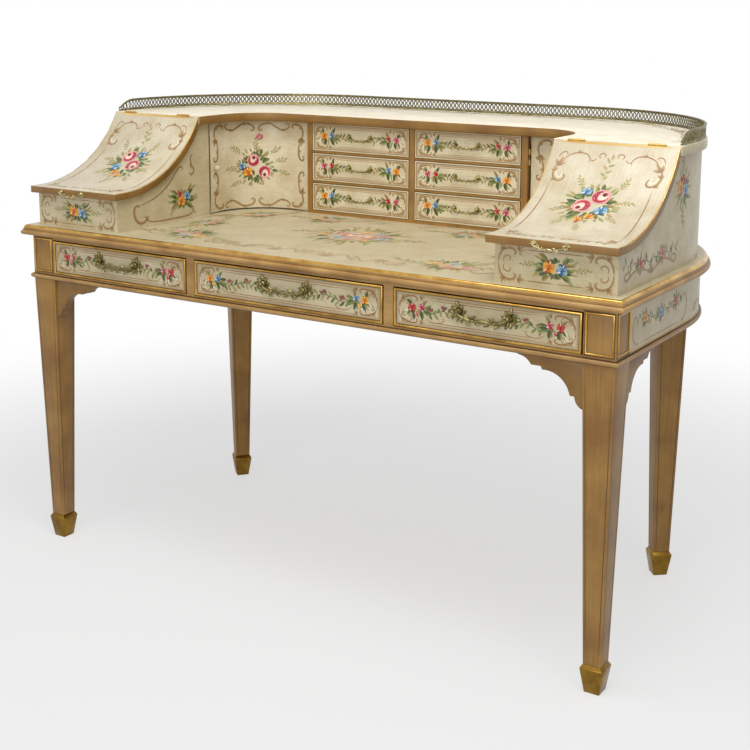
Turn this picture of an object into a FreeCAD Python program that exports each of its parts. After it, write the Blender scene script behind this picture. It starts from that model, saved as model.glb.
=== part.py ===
import FreeCAD
import Part
import math
import os
from FreeCAD import Placement, Rotation, Vector

# A D-shaped painted writing desk: four tapered legs carry a frieze with three drawers and a top.
# On the top a curved case holds a nest of small drawers, two bowed cupboards and two lidded wells.
# Millimetres, +Z up, front towards -Y, origin on the floor under the middle of the desk.

# Whole desk
carcass_width = 1460
carcass_depth = 780
corner_radius = 415
writing_height = 770
case_height = 245
corner_pieces = 3

# Gaps between pieces that move and pieces that stay
running_gap = 0.3
side_gap = 1
pivot_gap = 0.05
joint_gap = 1

# Legs and feet
leg_width = 65
ankle_width = 37
foot_height = 50
foot_bevel = 7
foot_top_width = 46
foot_bottom_width = 31
rear_leg_angle = 40.5
rear_leg_inset = 4

# Stepped brackets under the frieze, as shares of their length and drop
bracket_length = 132
bracket_drop = 89
bracket_thickness = 20
bracket_setback = 5
bracket_tip_shares = ((1.00, 0.04), (0.88, 0.09), (0.79, 0.22))
bracket_cove_shares = ((0.62, 0.29), (0.30, 0.45), (0.19, 0.75))
bracket_foot_shares = ((0.12, 0.75), (0.09, 0.89), (0.00, 1.00))
bracket_step_share = 0.64

# Frieze
frieze_height = 103
apron_thickness = 20
bottom_rail_height = 15
top_rail_height = 8
rail_depth = 45
divider_width = 22
centre_opening_width = 482
runner_thickness = 15
runner_lap = 16
guide_height = 20
astragal_radius = 6
leg_bead_width = 5
leg_bead_proud = 2.5
leg_bead_margin = 3

# Writing top and its moulded edge
top_thickness = 24
top_overhang = 20
nose_radius = 10
fillet_width = 6

# Drawers in the frieze
frieze_drawer_length = 480
frieze_front_thickness = 20
frieze_side_thickness = 12
frieze_bottom_thickness = 8
drawer_bead_width = 5
drawer_bead_proud = 2.5
drawer_box_share = 0.82

# Upper case
case_inset = 8
case_wall = 16
shelf_thickness = 21
shelf_overhang = 10
shelf_inner_overhang = 20
shelf_corner_radius = 110

# Nest of small drawers
side_bay_width = 430
nest_front = 505
nest_side = 15
nest_partition = 14
nest_floor = 8
nest_divider = 5
nest_rows = 3
nest_back_gap = 16
small_front_thickness = 12
small_side_thickness = 8
small_bottom_thickness = 5
small_bead_width = 4
small_bead_proud = 1.5

# Bowed cupboard doors
door_thickness = 16
door_recess = 10
door_radius = 125
door_flat = 55
door_landing = 40
knob_setback = 20
knob_radius = 7
knob_stem_radius = 3.5
knob_stem_length = 9
knob_plate_radius = 6
knob_plate_thickness = 2

# Lidded wells
well_depth = 289
well_front_inset = 16
well_front_height = 75
well_door_step = 4
lid_thickness = 16
lid_front_overhang = 18
lid_outer_overhang = 7
lid_inner_overhang = 12
lid_flat = 32

# Butt hinges of lids and doors
hinge_length = 36
hinge_margin = 30
knuckle_radius = 2.5
pin_radius = 1.2
leaf_thickness = 1.2
leaf_width = 14
door_hinge_forward = 2

# Bail pulls
pull_reach = 10
frieze_pull_spacing = 110
frieze_rosette_radius = 13
frieze_post_radius = 4.5
frieze_bail_radius = 2.2
frieze_bail_drop = 22
small_pull_spacing = 58
small_rosette_radius = 7
small_post_radius = 3.5
small_bail_radius = 1.7
small_bail_drop = 13
rosette_thickness = 2.5

# Pierced gallery round the shelf
gallery_height = 28
gallery_setback = 5
gallery_rail_width = 5
gallery_rail_height = 4
gallery_web = 1.6
gallery_start = 10
gallery_ramp = 50
gallery_end_height = 9

# Places worked out from the sizes
X_AXIS = Vector(1, 0, 0)
Z_AXIS = Vector(0, 0, 1)
ORIGIN = Vector(0, 0, 0)
side_x = carcass_width / 2
front_y = -carcass_depth / 2
back_y = carcass_depth / 2
corner_x = side_x - corner_radius
corner_y = back_y - corner_radius
corner = Vector(corner_x, corner_y, 0)
top_under = writing_height - top_thickness
frieze_bottom = top_under - frieze_height
opening_bottom = frieze_bottom + bottom_rail_height
opening_top = top_under - top_rail_height
leg_inner_x = side_x - leg_width
leg_back_y = front_y + leg_width
ankle_z = foot_height + foot_bevel
case_x = side_x - case_inset
case_inner_x = case_x - case_wall
case_inner_y = back_y - case_inset - case_wall
shelf_height = writing_height + case_height
shelf_under = shelf_height - shelf_thickness
shelf_out = shelf_overhang - case_inset
nest_x = side_x - side_bay_width
nest_y = front_y + nest_front
door_y = nest_y + door_recess
door_x = nest_x + door_flat + door_radius
well_inner_x = door_x - well_door_step
well_y = front_y + well_depth
well_front_y = front_y + well_front_inset
lid_seat = writing_height + well_front_height
lid_inner_x = well_inner_x - lid_inner_overhang
lid_outer_x = case_x + lid_outer_overhang
lid_front_y = well_front_y - lid_front_overhang
lid_under = lid_seat + running_gap
lid_top = lid_under + lid_thickness
lid_curve_y = lid_front_y + lid_flat
lid_rise = shelf_height - lid_top
lid_run = well_y - lid_curve_y
lid_radius = (lid_run ** 2 + lid_rise ** 2) / (2 * lid_rise)
lid_centre_z = lid_top + lid_radius
door_end_y = well_y + case_wall + door_landing
door_axis_x = nest_x + joint_gap / 2
door_axis_y = door_y - door_hinge_forward
door_swing = math.hypot(door_x - door_axis_x, door_axis_y - door_end_y)
door_bottom = writing_height + side_gap
door_top = shelf_under - side_gap
shelf_inner_x = door_x - shelf_inner_overhang
shelf_inner_y = nest_y - shelf_inner_overhang


def save(node, shapes):
    solids = []
    for shape in shapes:
        solids.extend(shape.Solids)
    Part.makeCompound(solids).exportStep("parts/" + node + ".step")


def box(x0, x1, y0, y1, z0, z1):
    return Part.makeBox(x1 - x0, y1 - y0, z1 - z0, Vector(x0, y0, z0))


def mirrored(shape):
    return shape.mirror(ORIGIN, X_AXIS)


def both(shapes):
    """The pieces of the right side and their mirror images on the left."""
    return list(shapes) + [mirrored(shape) for shape in shapes]


def outline(points, closed=True):
    """A wire through a list of points; a pair of points is an arc through the first to the second."""
    edges = []
    at = points[0]
    for step in points[1:] + ([points[0]] if closed else []):
        if isinstance(step, tuple):
            edges.append(Part.Arc(at, step[0], step[1]).toShape())
            at = step[1]
        else:
            edges.append(Part.LineSegment(at, step).toShape())
            at = step
    return Part.Wire(edges)


def d_plate(half, front, back, radius, z0, z1):
    """A flat D: straight front and sides with rounded back corners."""
    x = half - radius
    y = back - radius
    diagonal = radius * math.sqrt(0.5)
    points = [
        Vector(-half, front, z0),
        Vector(half, front, z0),
        Vector(half, y, z0),
        (Vector(x + diagonal, y + diagonal, z0), Vector(x, back, z0)),
        Vector(-x, back, z0),
        (Vector(-x - diagonal, y + diagonal, z0), Vector(-half, y, z0)),
    ]
    return Part.Face(outline(points)).extrude(Vector(0, 0, z1 - z0))


def at_side(out, z):
    """A point of a section drawn where the straight side meets the rounded corner."""
    return Vector(side_x + out, corner_y, z)


def back_runs(section):
    """A section carried round both back corners, in short lengths, and along the back."""
    turn = 90 / corner_pieces
    curved = []
    for count in range(corner_pieces):
        piece = section.rotated(corner, Z_AXIS, count * turn)
        curved.append(piece.revolve(corner, Z_AXIS, turn))
    back = section.rotated(corner, Z_AXIS, 90).extrude(Vector(-2 * corner_x, 0, 0))
    return both(curved) + [back]


def side_and_back_runs(section, start_y):
    """A section carried along both sides from start_y, round the back corners and along the back."""
    side = section.extrude(Vector(0, start_y - corner_y, 0))
    return both([side]) + back_runs(section)


def mitred_runs(section, reach):
    """A moulding all round the carcass, mitred at the two front corners."""
    runs = side_and_back_runs(section, front_y - reach)
    along_front = section.rotated(Vector(side_x, corner_y, 0), Z_AXIS, -90)
    along_front.translate(Vector(reach, front_y - corner_y, 0))
    front = along_front.extrude(Vector(-2 * (side_x + reach), 0, 0))
    low = section.BoundBox.ZMin - reach
    mitre_points = [
        Vector(-side_x - 2 * reach, front_y - 2 * reach, low),
        Vector(side_x + 2 * reach, front_y - 2 * reach, low),
        Vector(0, front_y + side_x, low),
    ]
    mitre = Part.Face(outline(mitre_points)).extrude(Vector(0, 0, frieze_height + reach))
    return [run.cut(mitre) for run in runs] + [front.common(mitre)]


def square(width, z):
    half = width / 2
    return outline([Vector(-half, -half, z), Vector(half, -half, z), Vector(half, half, z), Vector(-half, half, z)])


def stand(shape):
    """The right front and right rear places of one leg or foot."""
    reach = corner_radius - rear_leg_inset - leg_width / 2
    turn = math.radians(rear_leg_angle)
    front = shape.translated(Vector(side_x - leg_width / 2, front_y + leg_width / 2, 0))
    rear = shape.rotated(ORIGIN, Z_AXIS, rear_leg_angle)
    rear.translate(corner + Vector(reach * math.cos(turn), reach * math.sin(turn), 0))
    return front, rear


def apron():
    section = Part.Face(outline([
        at_side(-apron_thickness, frieze_bottom),
        at_side(0, frieze_bottom),
        at_side(0, top_under),
        at_side(-apron_thickness, top_under),
    ]))
    return side_and_back_runs(section, leg_back_y)


def legs():
    sections = [square(ankle_width, ankle_z), square(leg_width, frieze_bottom), square(leg_width, top_under)]
    front, rear = stand(Part.makeLoft(sections, True, True))
    for piece in apron():
        rear = rear.cut(piece)
    return both([front, rear])


def spade_feet():
    sections = [square(foot_bottom_width, 0), square(foot_top_width, foot_height), square(ankle_width, ankle_z)]
    return both(stand(Part.makeLoft(sections, True, True)))


def brackets():
    """A bracket in the angle of leg and front rail, and one in the angle of leg and side apron."""

    def place(shares):
        return Vector(leg_inner_x - shares[0] * bracket_length, 0, frieze_bottom - shares[1] * bracket_drop)

    tip = [place(shares) for shares in bracket_tip_shares]
    cove = [place(shares) for shares in bracket_cove_shares]
    toe = [place(shares) for shares in bracket_foot_shares]
    step = place((bracket_step_share, bracket_tip_shares[-1][1]))
    points = [
        Vector(side_x - leg_width / 2, 0, frieze_bottom),
        Vector(tip[0].x, 0, frieze_bottom),
        tip[0],
        (tip[1], tip[2]),
        step,
        cove[0],
        (cove[1], cove[2]),
        toe[0],
        (toe[1], toe[2]),
        Vector(side_x - leg_width / 2, 0, toe[2].z),
    ]
    blank = Part.Face(outline(points)).extrude(Vector(0, bracket_thickness, 0))
    leg = legs()[0]
    across = blank.translated(Vector(0, front_y + bracket_setback, 0)).cut(leg)
    leg_middle = Vector(side_x - leg_width / 2, front_y + leg_width / 2, 0)
    along = blank.translated(Vector(0, front_y + bracket_setback, 0)).rotated(leg_middle, Z_AXIS, -90)
    along = along.mirror(leg_middle, X_AXIS).cut(leg)
    return both([across, along])


def drawer_openings():
    """The three openings in the frieze, from left to right, as pairs of X places."""
    half = centre_opening_width / 2
    return ((-leg_inner_x, -half - divider_width), (-half, half), (half + divider_width, leg_inner_x))


def front_rails():
    half = centre_opening_width / 2
    rear = front_y + rail_depth
    bottom = box(-leg_inner_x, leg_inner_x, front_y, rear, frieze_bottom, opening_bottom)
    top = box(-leg_inner_x, leg_inner_x, front_y, rear, opening_top, top_under)
    divider = box(half, half + divider_width, front_y, rear, opening_bottom, opening_top)
    return [bottom, top] + both([divider])


def runners():
    """Runners that carry the frieze drawers, each with the guide that keeps them straight."""
    half = centre_opening_width / 2
    low = opening_bottom - runner_thickness
    guide_top = opening_bottom + guide_height
    start = front_y + rail_depth
    end = back_y - apron_thickness
    far = half + divider_width
    wall = side_x - apron_thickness
    inner = box(half - runner_lap, far + runner_lap, start, end, low, opening_bottom)
    inner_guide = box(half, far, start, end, opening_bottom, guide_top)
    outer = box(leg_inner_x - runner_lap, wall, leg_back_y, corner_y, low, opening_bottom)
    outer_guide = box(leg_inner_x, wall, leg_back_y, corner_y, opening_bottom, guide_top)
    return both([inner, inner_guide, outer, outer_guide])


def frame_strips(x0, x1, y0, y1, z0, z1, width):
    """Four strips of a flat frame that faces the front."""
    return [
        box(x0, x1, y0, y1, z0, z0 + width),
        box(x0, x1, y0, y1, z1 - width, z1),
        box(x0, x0 + width, y0, y1, z0 + width, z1 - width),
        box(x1 - width, x1, y0, y1, z0 + width, z1 - width),
    ]


def leg_beads():
    """Gilt frames on the front and outer face of each front leg, above the astragal."""
    x0 = leg_inner_x + leg_bead_margin
    x1 = side_x - leg_bead_margin
    low = opening_bottom
    high = opening_top
    facing = frame_strips(x0, x1, front_y - leg_bead_proud, front_y, low, high, leg_bead_width)
    leg_middle = Vector(side_x - leg_width / 2, front_y + leg_width / 2, 0)
    outer = [strip.rotated(leg_middle, Z_AXIS, 90) for strip in facing]
    return both(facing + outer)


def astragal():
    middle = frieze_bottom + astragal_radius
    section = Part.Face(outline([
        at_side(0, frieze_bottom),
        (at_side(astragal_radius, middle), at_side(0, middle + astragal_radius)),
    ]))
    return mitred_runs(section, astragal_radius)


def writing_top():
    return [d_plate(side_x, front_y, back_y, corner_radius, top_under, writing_height)]


def top_moulding():
    nose_x = top_overhang - nose_radius
    nose_top = top_under + 2 * nose_radius
    section = Part.Face(outline([
        at_side(0, top_under),
        at_side(nose_x, top_under),
        (at_side(top_overhang, top_under + nose_radius), at_side(nose_x, nose_top)),
        at_side(fillet_width, nose_top),
        at_side(fillet_width, writing_height),
        at_side(0, writing_height),
    ]))
    return mitred_runs(section, top_overhang)


def lid_arc_z(y, radius):
    """Height of the lid's hollow curve, of the given radius, at the place y."""
    return lid_centre_z - math.sqrt(radius ** 2 - (y - lid_curve_y) ** 2)


def lid_arc(radius, y0, y1):
    """The middle and the end of the hollow curve that starts at y0 and ends at y1."""
    middle = (y0 + y1) / 2
    return (Vector(0, middle, lid_arc_z(middle, radius)), Vector(0, y1, lid_arc_z(y1, radius)))


def lid():
    end = well_y - joint_gap / 2
    lower = lid_radius + lid_thickness
    section = Part.Face(outline([
        Vector(0, lid_front_y, lid_under),
        Vector(0, lid_front_y, lid_top),
        Vector(0, lid_curve_y, lid_top),
        lid_arc(lid_radius, lid_curve_y, end),
        Vector(0, end, lid_arc_z(end, lower)),
        lid_arc(lower, end, lid_curve_y),
    ]))
    board = section.translated(Vector(lid_inner_x, 0, 0)).extrude(Vector(lid_outer_x - lid_inner_x, 0, 0))
    return board.cut(Part.makeCompound(lid_hinge_cuts()))


def well_side(x0, rear):
    """A well's side board, its top edge hollowed to the underside of the lid."""
    hollow = lid_radius + lid_thickness + running_gap
    start = well_front_y + case_wall
    section = Part.Face(outline([
        Vector(0, start, writing_height),
        Vector(0, start, lid_seat),
        Vector(0, lid_curve_y, lid_seat),
        lid_arc(hollow, lid_curve_y, well_y),
        Vector(0, well_y, shelf_under),
        Vector(0, rear, shelf_under),
        Vector(0, rear, writing_height),
    ]))
    return section.translated(Vector(x0, 0, 0)).extrude(Vector(case_wall, 0, 0))


def well_boards():
    """Fronts, inner and outer sides and backs of the two wells."""
    front = box(well_inner_x, case_x, well_front_y, well_front_y + case_wall, writing_height, lid_seat)
    inner_side = well_side(well_inner_x, door_end_y + case_wall)
    inner_side = inner_side.cut(door_cylinder(door_swing + side_gap))
    outer_side = well_side(case_inner_x, corner_y)
    back_start = well_y + joint_gap / 2
    inner_face = well_inner_x + case_wall
    back = box(inner_face, case_inner_x, back_start, back_start + case_wall, writing_height, shelf_under)
    return both([front, inner_side, outer_side, back])


def case_back():
    """The bent back of the upper case, between the straight outer sides."""
    section = Part.Face(outline([
        at_side(-case_inset - case_wall, writing_height),
        at_side(-case_inset, writing_height),
        at_side(-case_inset, shelf_under),
        at_side(-case_inset - case_wall, shelf_under),
    ]))
    return back_runs(section)


def nest_levels():
    """Bottom and top of each row of small drawers, from the lowest up."""
    floor = writing_height + nest_floor
    clear = shelf_under - floor - (nest_rows - 1) * nest_divider
    height = clear / nest_rows
    return [(floor + row * (height + nest_divider), floor + row * (height + nest_divider) + height)
            for row in range(nest_rows)]


def drawer_nest():
    inner = nest_x - nest_side
    half = nest_partition / 2
    side = box(inner, nest_x, nest_y, case_inner_y, writing_height, shelf_under)
    side = side.cut(Part.makeCompound(door_hinge_cuts()))
    partition = box(-half, half, nest_y, case_inner_y, writing_height, shelf_under)
    floor = box(half, inner, nest_y, case_inner_y, writing_height, writing_height + nest_floor)
    levels = nest_levels()
    dividers = [box(half, inner, nest_y, case_inner_y, low[1], high[0]) for low, high in zip(levels, levels[1:])]
    return [partition] + both([side, floor] + dividers)


def top_shelf():
    """The shelf over the case, cut out in front for the writer, with seats for the lid hinges."""
    front = well_y + joint_gap / 2
    radius = corner_radius + shelf_out
    plate = d_plate(side_x + shelf_out, front, back_y + shelf_out, radius, shelf_under, shelf_height)
    gap_front = front - shelf_thickness
    low = shelf_under - shelf_thickness
    high = shelf_height + shelf_thickness
    hollow = d_plate(shelf_inner_x, gap_front, shelf_inner_y, shelf_corner_radius, low, high)
    hinge_cuts = Part.makeCompound(both(lid_hinge_cuts()))
    return [plate.cut(hollow).cut(hinge_cuts)]


def gallery():
    """Brass gallery: two rails with the fret between them, ramped down at its two ends."""
    middle = shelf_out - gallery_setback
    rail = gallery_rail_width / 2
    web = gallery_web / 2
    low = shelf_height + gallery_rail_height
    top = shelf_height + gallery_height
    high = top - gallery_rail_height
    half_section = [(rail, shelf_height), (rail, low), (web, low), (web, high), (rail, high), (rail, top)]
    points = [at_side(middle + out, z) for out, z in half_section]
    points += [at_side(middle - out, z) for out, z in reversed(half_section)]
    start = well_y + gallery_start
    runs = side_and_back_runs(Part.Face(outline(points)), start)
    ramp_points = [
        Vector(0, start, shelf_height + gallery_end_height),
        Vector(0, start + gallery_ramp, top),
        Vector(0, start, top),
    ]
    reach = side_x + shelf_out
    ramp = Part.Face(outline(ramp_points)).translated(Vector(-reach, 0, 0)).extrude(Vector(2 * reach, 0, 0))
    return [run.cut(ramp) for run in runs]


def door_cylinder(radius):
    """The round space that the right door's free end sweeps about its hinge."""
    height = shelf_under - writing_height
    return Part.makeCylinder(radius, height, Vector(door_axis_x, door_axis_y, writing_height))


def door():
    """Right cupboard door: a bowed board from the nest round to the well."""
    front = well_y
    outer = door_radius + door_thickness
    back = d_plate(door_x + door_thickness, front, door_y + door_thickness, outer, door_bottom, door_top)
    hollow = d_plate(door_x, front, door_y, door_radius, door_bottom, door_top)
    hinge_end = nest_x + joint_gap
    clear = box(hinge_end, door_x + door_thickness, front, door_y + door_thickness, door_bottom, door_top)
    board = back.cut(hollow).common(clear).common(door_cylinder(door_swing))
    return board.cut(Part.makeCompound(door_hinge_cuts()))


def door_knob():
    """Turned knob near the free end of the right door."""
    place = Vector(door_x, door_end_y + knob_setback, (door_bottom + door_top) / 2)
    neck = knob_stem_length - math.sqrt(knob_radius ** 2 - knob_stem_radius ** 2)

    def spot(along, radius):
        return place + Vector(-along, 0, radius)

    profile = outline([
        spot(0, 0),
        spot(0, knob_plate_radius),
        spot(knob_plate_thickness, knob_plate_radius),
        spot(knob_plate_thickness, knob_stem_radius),
        spot(neck, knob_stem_radius),
        (spot(knob_stem_length, knob_radius), spot(knob_stem_length + knob_radius, 0)),
    ])
    return Part.Face(profile).revolve(place, X_AXIS, 360)


def along_x(radius, x0, x1):
    return Part.makeCylinder(radius, x1 - x0, Vector(x0, 0, 0), X_AXIS)


def hinge():
    """A butt hinge on the X axis: the fixed leaf with its pin (towards +Y) and the swinging leaf."""
    third = hinge_length / 3
    clear = knuckle_radius + running_gap
    fixed_plate = box(0, hinge_length, joint_gap / 2, joint_gap / 2 + leaf_thickness, -leaf_width, 0)
    swing_plate = fixed_plate.mirror(ORIGIN, Vector(0, 1, 0))
    middle = along_x(clear, third, 2 * third)
    ends = [along_x(clear, 0, third), along_x(clear, 2 * third, hinge_length)]
    barrels = [along_x(knuckle_radius, 0, third), along_x(knuckle_radius, 2 * third, hinge_length)]
    pin = along_x(pin_radius, 0, hinge_length)
    fixed = fixed_plate.cut(middle).fuse(barrels + [pin]).removeSplitter()
    barrel = along_x(knuckle_radius, third + running_gap, 2 * third - running_gap)
    bore = along_x(pin_radius + pivot_gap, 0, hinge_length)
    swinging = swing_plate.cut(Part.makeCompound(ends)).fuse(barrel).cut(bore).removeSplitter()
    return fixed, swinging


def hinge_cut():
    """The space that a hinge takes out of the wood on both sides of the joint."""
    reach = joint_gap / 2 + leaf_thickness
    barrel = along_x(knuckle_radius + running_gap, 0, hinge_length)
    return box(0, hinge_length, -reach, reach, -leaf_width, 0).fuse(barrel)


def lid_places():
    """Where the two hinges of the right lid go."""
    first = Placement(Vector(lid_inner_x + hinge_margin, well_y, shelf_height), Rotation())
    second = Placement(Vector(lid_outer_x - hinge_margin - hinge_length, well_y, shelf_height), Rotation())
    return first, second


def door_places():
    """Where the two hinges of the right door go: their axis upright, the fixed leaf on the nest."""
    upright = Rotation(Z_AXIS, Vector(-1, 0, 0), Vector(0, -1, 0), "XYZ")
    low = Vector(door_axis_x, door_axis_y, door_bottom + hinge_margin)
    high = Vector(door_axis_x, door_axis_y, door_top - hinge_margin - hinge_length)
    return Placement(low, upright), Placement(high, upright)


def placed(shape, places):
    copies = []
    for place in places:
        copy = shape.copy()
        copy.Placement = place.multiply(shape.Placement)
        copies.append(copy)
    return copies


def lid_hinge_cuts():
    return placed(hinge_cut(), lid_places())


def door_hinge_cuts():
    return placed(hinge_cut(), door_places())


def drawer(x0, x1, front, length, z0, z1, walls):
    """One drawer in its opening: the front board, and the two sides, back and bottom of its box."""
    front_thickness, side, bottom = walls
    left = x0 + side_gap
    right = x1 - side_gap
    low = z0 + running_gap
    high = z1 - side_gap
    inside = front + front_thickness
    rear = front + length
    box_top = low + drawer_box_share * (high - low)
    face = box(left, right, front, inside, low, high)
    boards = [
        box(left, left + side, inside, rear, low, box_top),
        box(right - side, right, inside, rear, low, box_top),
        box(left + side, right - side, rear - side, rear, low, box_top),
        box(left + side, right - side, inside, rear - side, low, low + bottom),
    ]
    return face, boards


def drawer_bead(face, width, proud):
    """The raised gilt bead round the edge of a drawer front."""
    room = face.BoundBox
    return frame_strips(room.XMin, room.XMax, room.YMin - proud, room.YMin, room.ZMin, room.ZMax, width)


def pull_posts(spacing, rosette, post, rod):
    """Two rosettes with their posts, drilled across for the bail, on a face that looks to -Y."""
    towards = Vector(0, -1, 0)
    solids = []
    for x in (-spacing / 2, spacing / 2):
        plate = Part.makeCylinder(rosette, rosette_thickness, Vector(x, 0, 0), towards)
        shank = Part.makeCylinder(post, pull_reach + post, Vector(x, 0, 0), towards)
        hole = along_x(rod + pivot_gap, x - post, x + post).translated(Vector(0, -pull_reach, 0))
        solids.append(plate.fuse(shank).removeSplitter().cut(hole))
    return Part.makeCompound(solids)


def pull_bail(spacing, post, rod, drop):
    """A bail that hangs between its posts and turns in them on its two straight ends."""
    bend = 2 * rod
    sweep = drop - bend
    corner_share = math.sqrt(0.5)
    end = spacing / 2 + post
    turn = spacing / 2 - post - rod
    foot = turn - bend - sweep
    depth = -pull_reach

    def spot(x, z):
        return Vector(x, depth, z)

    bend_mid = bend * corner_share
    sweep_mid = sweep * corner_share
    points = [
        spot(-end, 0),
        spot(-turn, 0),
        (spot(-turn + bend_mid, bend_mid - bend), spot(-turn + bend, -bend)),
        (spot(-foot - sweep_mid, -bend - sweep_mid), spot(-foot, -drop)),
        spot(foot, -drop),
        (spot(foot + sweep_mid, -bend - sweep_mid), spot(turn - bend, -bend)),
        (spot(turn - bend_mid, bend_mid - bend), spot(turn, 0)),
        spot(end, 0),
    ]
    path = outline(points, False)
    ring = Part.Wire(Part.makeCircle(rod, points[0], X_AXIS))
    return path.makePipeShell([ring], True, False)


def frieze_pull(place):
    posts = pull_posts(frieze_pull_spacing, frieze_rosette_radius, frieze_post_radius, frieze_bail_radius)
    bail = pull_bail(frieze_pull_spacing, frieze_post_radius, frieze_bail_radius, frieze_bail_drop)
    return posts.translated(place), bail.translated(place)


def small_pull(place):
    posts = pull_posts(small_pull_spacing, small_rosette_radius, small_post_radius, small_bail_radius)
    bail = pull_bail(small_pull_spacing, small_post_radius, small_bail_radius, small_bail_drop)
    return posts.translated(place), bail.translated(place)


def pull_place(face, drop):
    """The pivot of a pull whose bail hangs over the middle of a drawer front."""
    room = face.BoundBox
    return Vector(room.Center.x, room.YMin, room.Center.z + drop / 2)


def save_frieze_drawers():
    walls = (frieze_front_thickness, frieze_side_thickness, frieze_bottom_thickness)
    for name, (x0, x1) in zip(("left", "centre", "right"), drawer_openings()):
        node = "frieze_drawer_" + name
        face, boards = drawer(x0, x1, front_y, frieze_drawer_length, opening_bottom, opening_top, walls)
        posts, bail = frieze_pull(pull_place(face, frieze_bail_drop))
        save(node + "_front", [face] + drawer_bead(face, drawer_bead_width, drawer_bead_proud))
        save(node + "_box", boards)
        save(node + "_pull", [posts])
        save(node + "_bail", [bail])


def save_small_drawers():
    walls = (small_front_thickness, small_side_thickness, small_bottom_thickness)
    length = case_inner_y - nest_y - nest_back_gap
    inner = nest_x - nest_side
    half = nest_partition / 2
    columns = (("left", -inner, -half), ("right", half, inner))
    for row, (low, high) in zip(("bottom", "middle", "top"), nest_levels()):
        for column, x0, x1 in columns:
            node = "small_drawer_" + column + "_" + row
            face, boards = drawer(x0, x1, nest_y, length, low, high, walls)
            posts, bail = small_pull(pull_place(face, small_bail_drop))
            save(node, [face] + drawer_bead(face, small_bead_width, small_bead_proud) + boards)
            save(node + "_pull", [posts])
            save(node + "_bail", [bail])


def save_lids_and_doors():
    fixed, swinging = hinge()
    lip = Vector((lid_inner_x + lid_outer_x) / 2, lid_front_y, (lid_under + lid_top) / 2)
    posts, bail = small_pull(lip)
    right = {
        "lid": [lid()],
        "lid_hinges": placed(swinging, lid_places()),
        "lid_pull": [posts],
        "lid_bail": [bail],
        "door": [door()],
        "door_hinges": placed(swinging, door_places()),
        "door_knob": [door_knob()],
    }
    for name, shapes in right.items():
        save("right_" + name, shapes)
        save("left_" + name, [mirrored(shape) for shape in shapes])
    save("hinge_leaves", both(placed(fixed, lid_places()) + placed(fixed, door_places())))


def save_carcass():
    save("legs", legs())
    save("spade_feet", spade_feet())
    save("leg_brackets", brackets())
    save("front_rails", front_rails())
    save("drawer_runners", runners())
    save("frieze_apron", apron())
    save("leg_beads", leg_beads())
    save("frieze_astragal", astragal())
    save("writing_top", writing_top())
    save("top_moulding", top_moulding())
    save("well_boards", well_boards())
    save("case_back", case_back())
    save("drawer_nest", drawer_nest())
    save("top_shelf", top_shelf())
    save("gallery", gallery())


os.makedirs("parts", exist_ok=True)
save_carcass()
save_lids_and_doors()
save_frieze_drawers()
save_small_drawers()
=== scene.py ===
import bmesh
import bpy
import math
import random
from mathutils import Matrix, Vector


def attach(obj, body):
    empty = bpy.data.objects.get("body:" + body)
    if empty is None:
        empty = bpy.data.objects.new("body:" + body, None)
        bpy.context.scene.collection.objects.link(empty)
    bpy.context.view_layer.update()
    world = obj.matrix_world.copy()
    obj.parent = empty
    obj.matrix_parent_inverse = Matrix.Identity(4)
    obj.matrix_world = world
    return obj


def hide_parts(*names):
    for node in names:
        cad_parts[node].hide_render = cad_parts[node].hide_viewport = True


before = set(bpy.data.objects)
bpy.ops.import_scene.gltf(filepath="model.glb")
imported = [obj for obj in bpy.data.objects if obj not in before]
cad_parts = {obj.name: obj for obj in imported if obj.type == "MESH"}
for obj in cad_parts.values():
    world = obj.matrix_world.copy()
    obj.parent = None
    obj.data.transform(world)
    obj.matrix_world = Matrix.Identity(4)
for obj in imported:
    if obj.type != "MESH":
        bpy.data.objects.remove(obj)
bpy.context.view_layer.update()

# Legs
# Four square legs of solid wood, tapered below the frieze and glazed tan over a pale ground.
# The front pair rises through the frieze as its corner blocks; every edge is slightly rubbed down.

MM = 0.001
leg_edge = 1.4
merge_distance = 0.002
flat_angle = 0.4
edge_angle = 25


def linear(colour):
    """An sRGB hex colour as the linear RGBA that shaders and colour attributes take."""
    shares = [int(colour[at:at + 2], 16) / 255 for at in (1, 3, 5)]
    bent = [share / 12.92 if share <= 0.04045 else ((share + 0.055) / 1.055) ** 2.4 for share in shares]
    return (*bent, 1.0)


def add(tree, kind, settings, links=None):
    """Adds one shader node. A setting names a property or an input; a link feeds an input from an output,
    or from the first output of a node."""
    made = tree.nodes.new("ShaderNode" + kind)
    for name, value in settings.items():
        if name == "stops":
            for place, colour in value[2:]:
                made.color_ramp.elements.new(place)
            for element, (place, colour) in zip(made.color_ramp.elements, value):
                element.position = place
                element.color = linear(colour)
        elif isinstance(name, str) and hasattr(made, name):
            setattr(made, name, value)
        else:
            made.inputs[name].default_value = value
    for name, source in (links or {}).items():
        tree.links.new(getattr(source, "outputs", [source])[0], made.inputs[name])
    return made


def new_finish(name, metallic=0.0):
    """A material with its node tree, its shader and its object coordinates."""
    made = bpy.data.materials.new(name)
    made.use_nodes = True
    tree = made.node_tree
    shader = tree.nodes["Principled BSDF"]
    shader.inputs["Metallic"].default_value = metallic
    place = add(tree, "TexCoord", {}).outputs["Object"]
    return made, tree, shader, place


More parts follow.
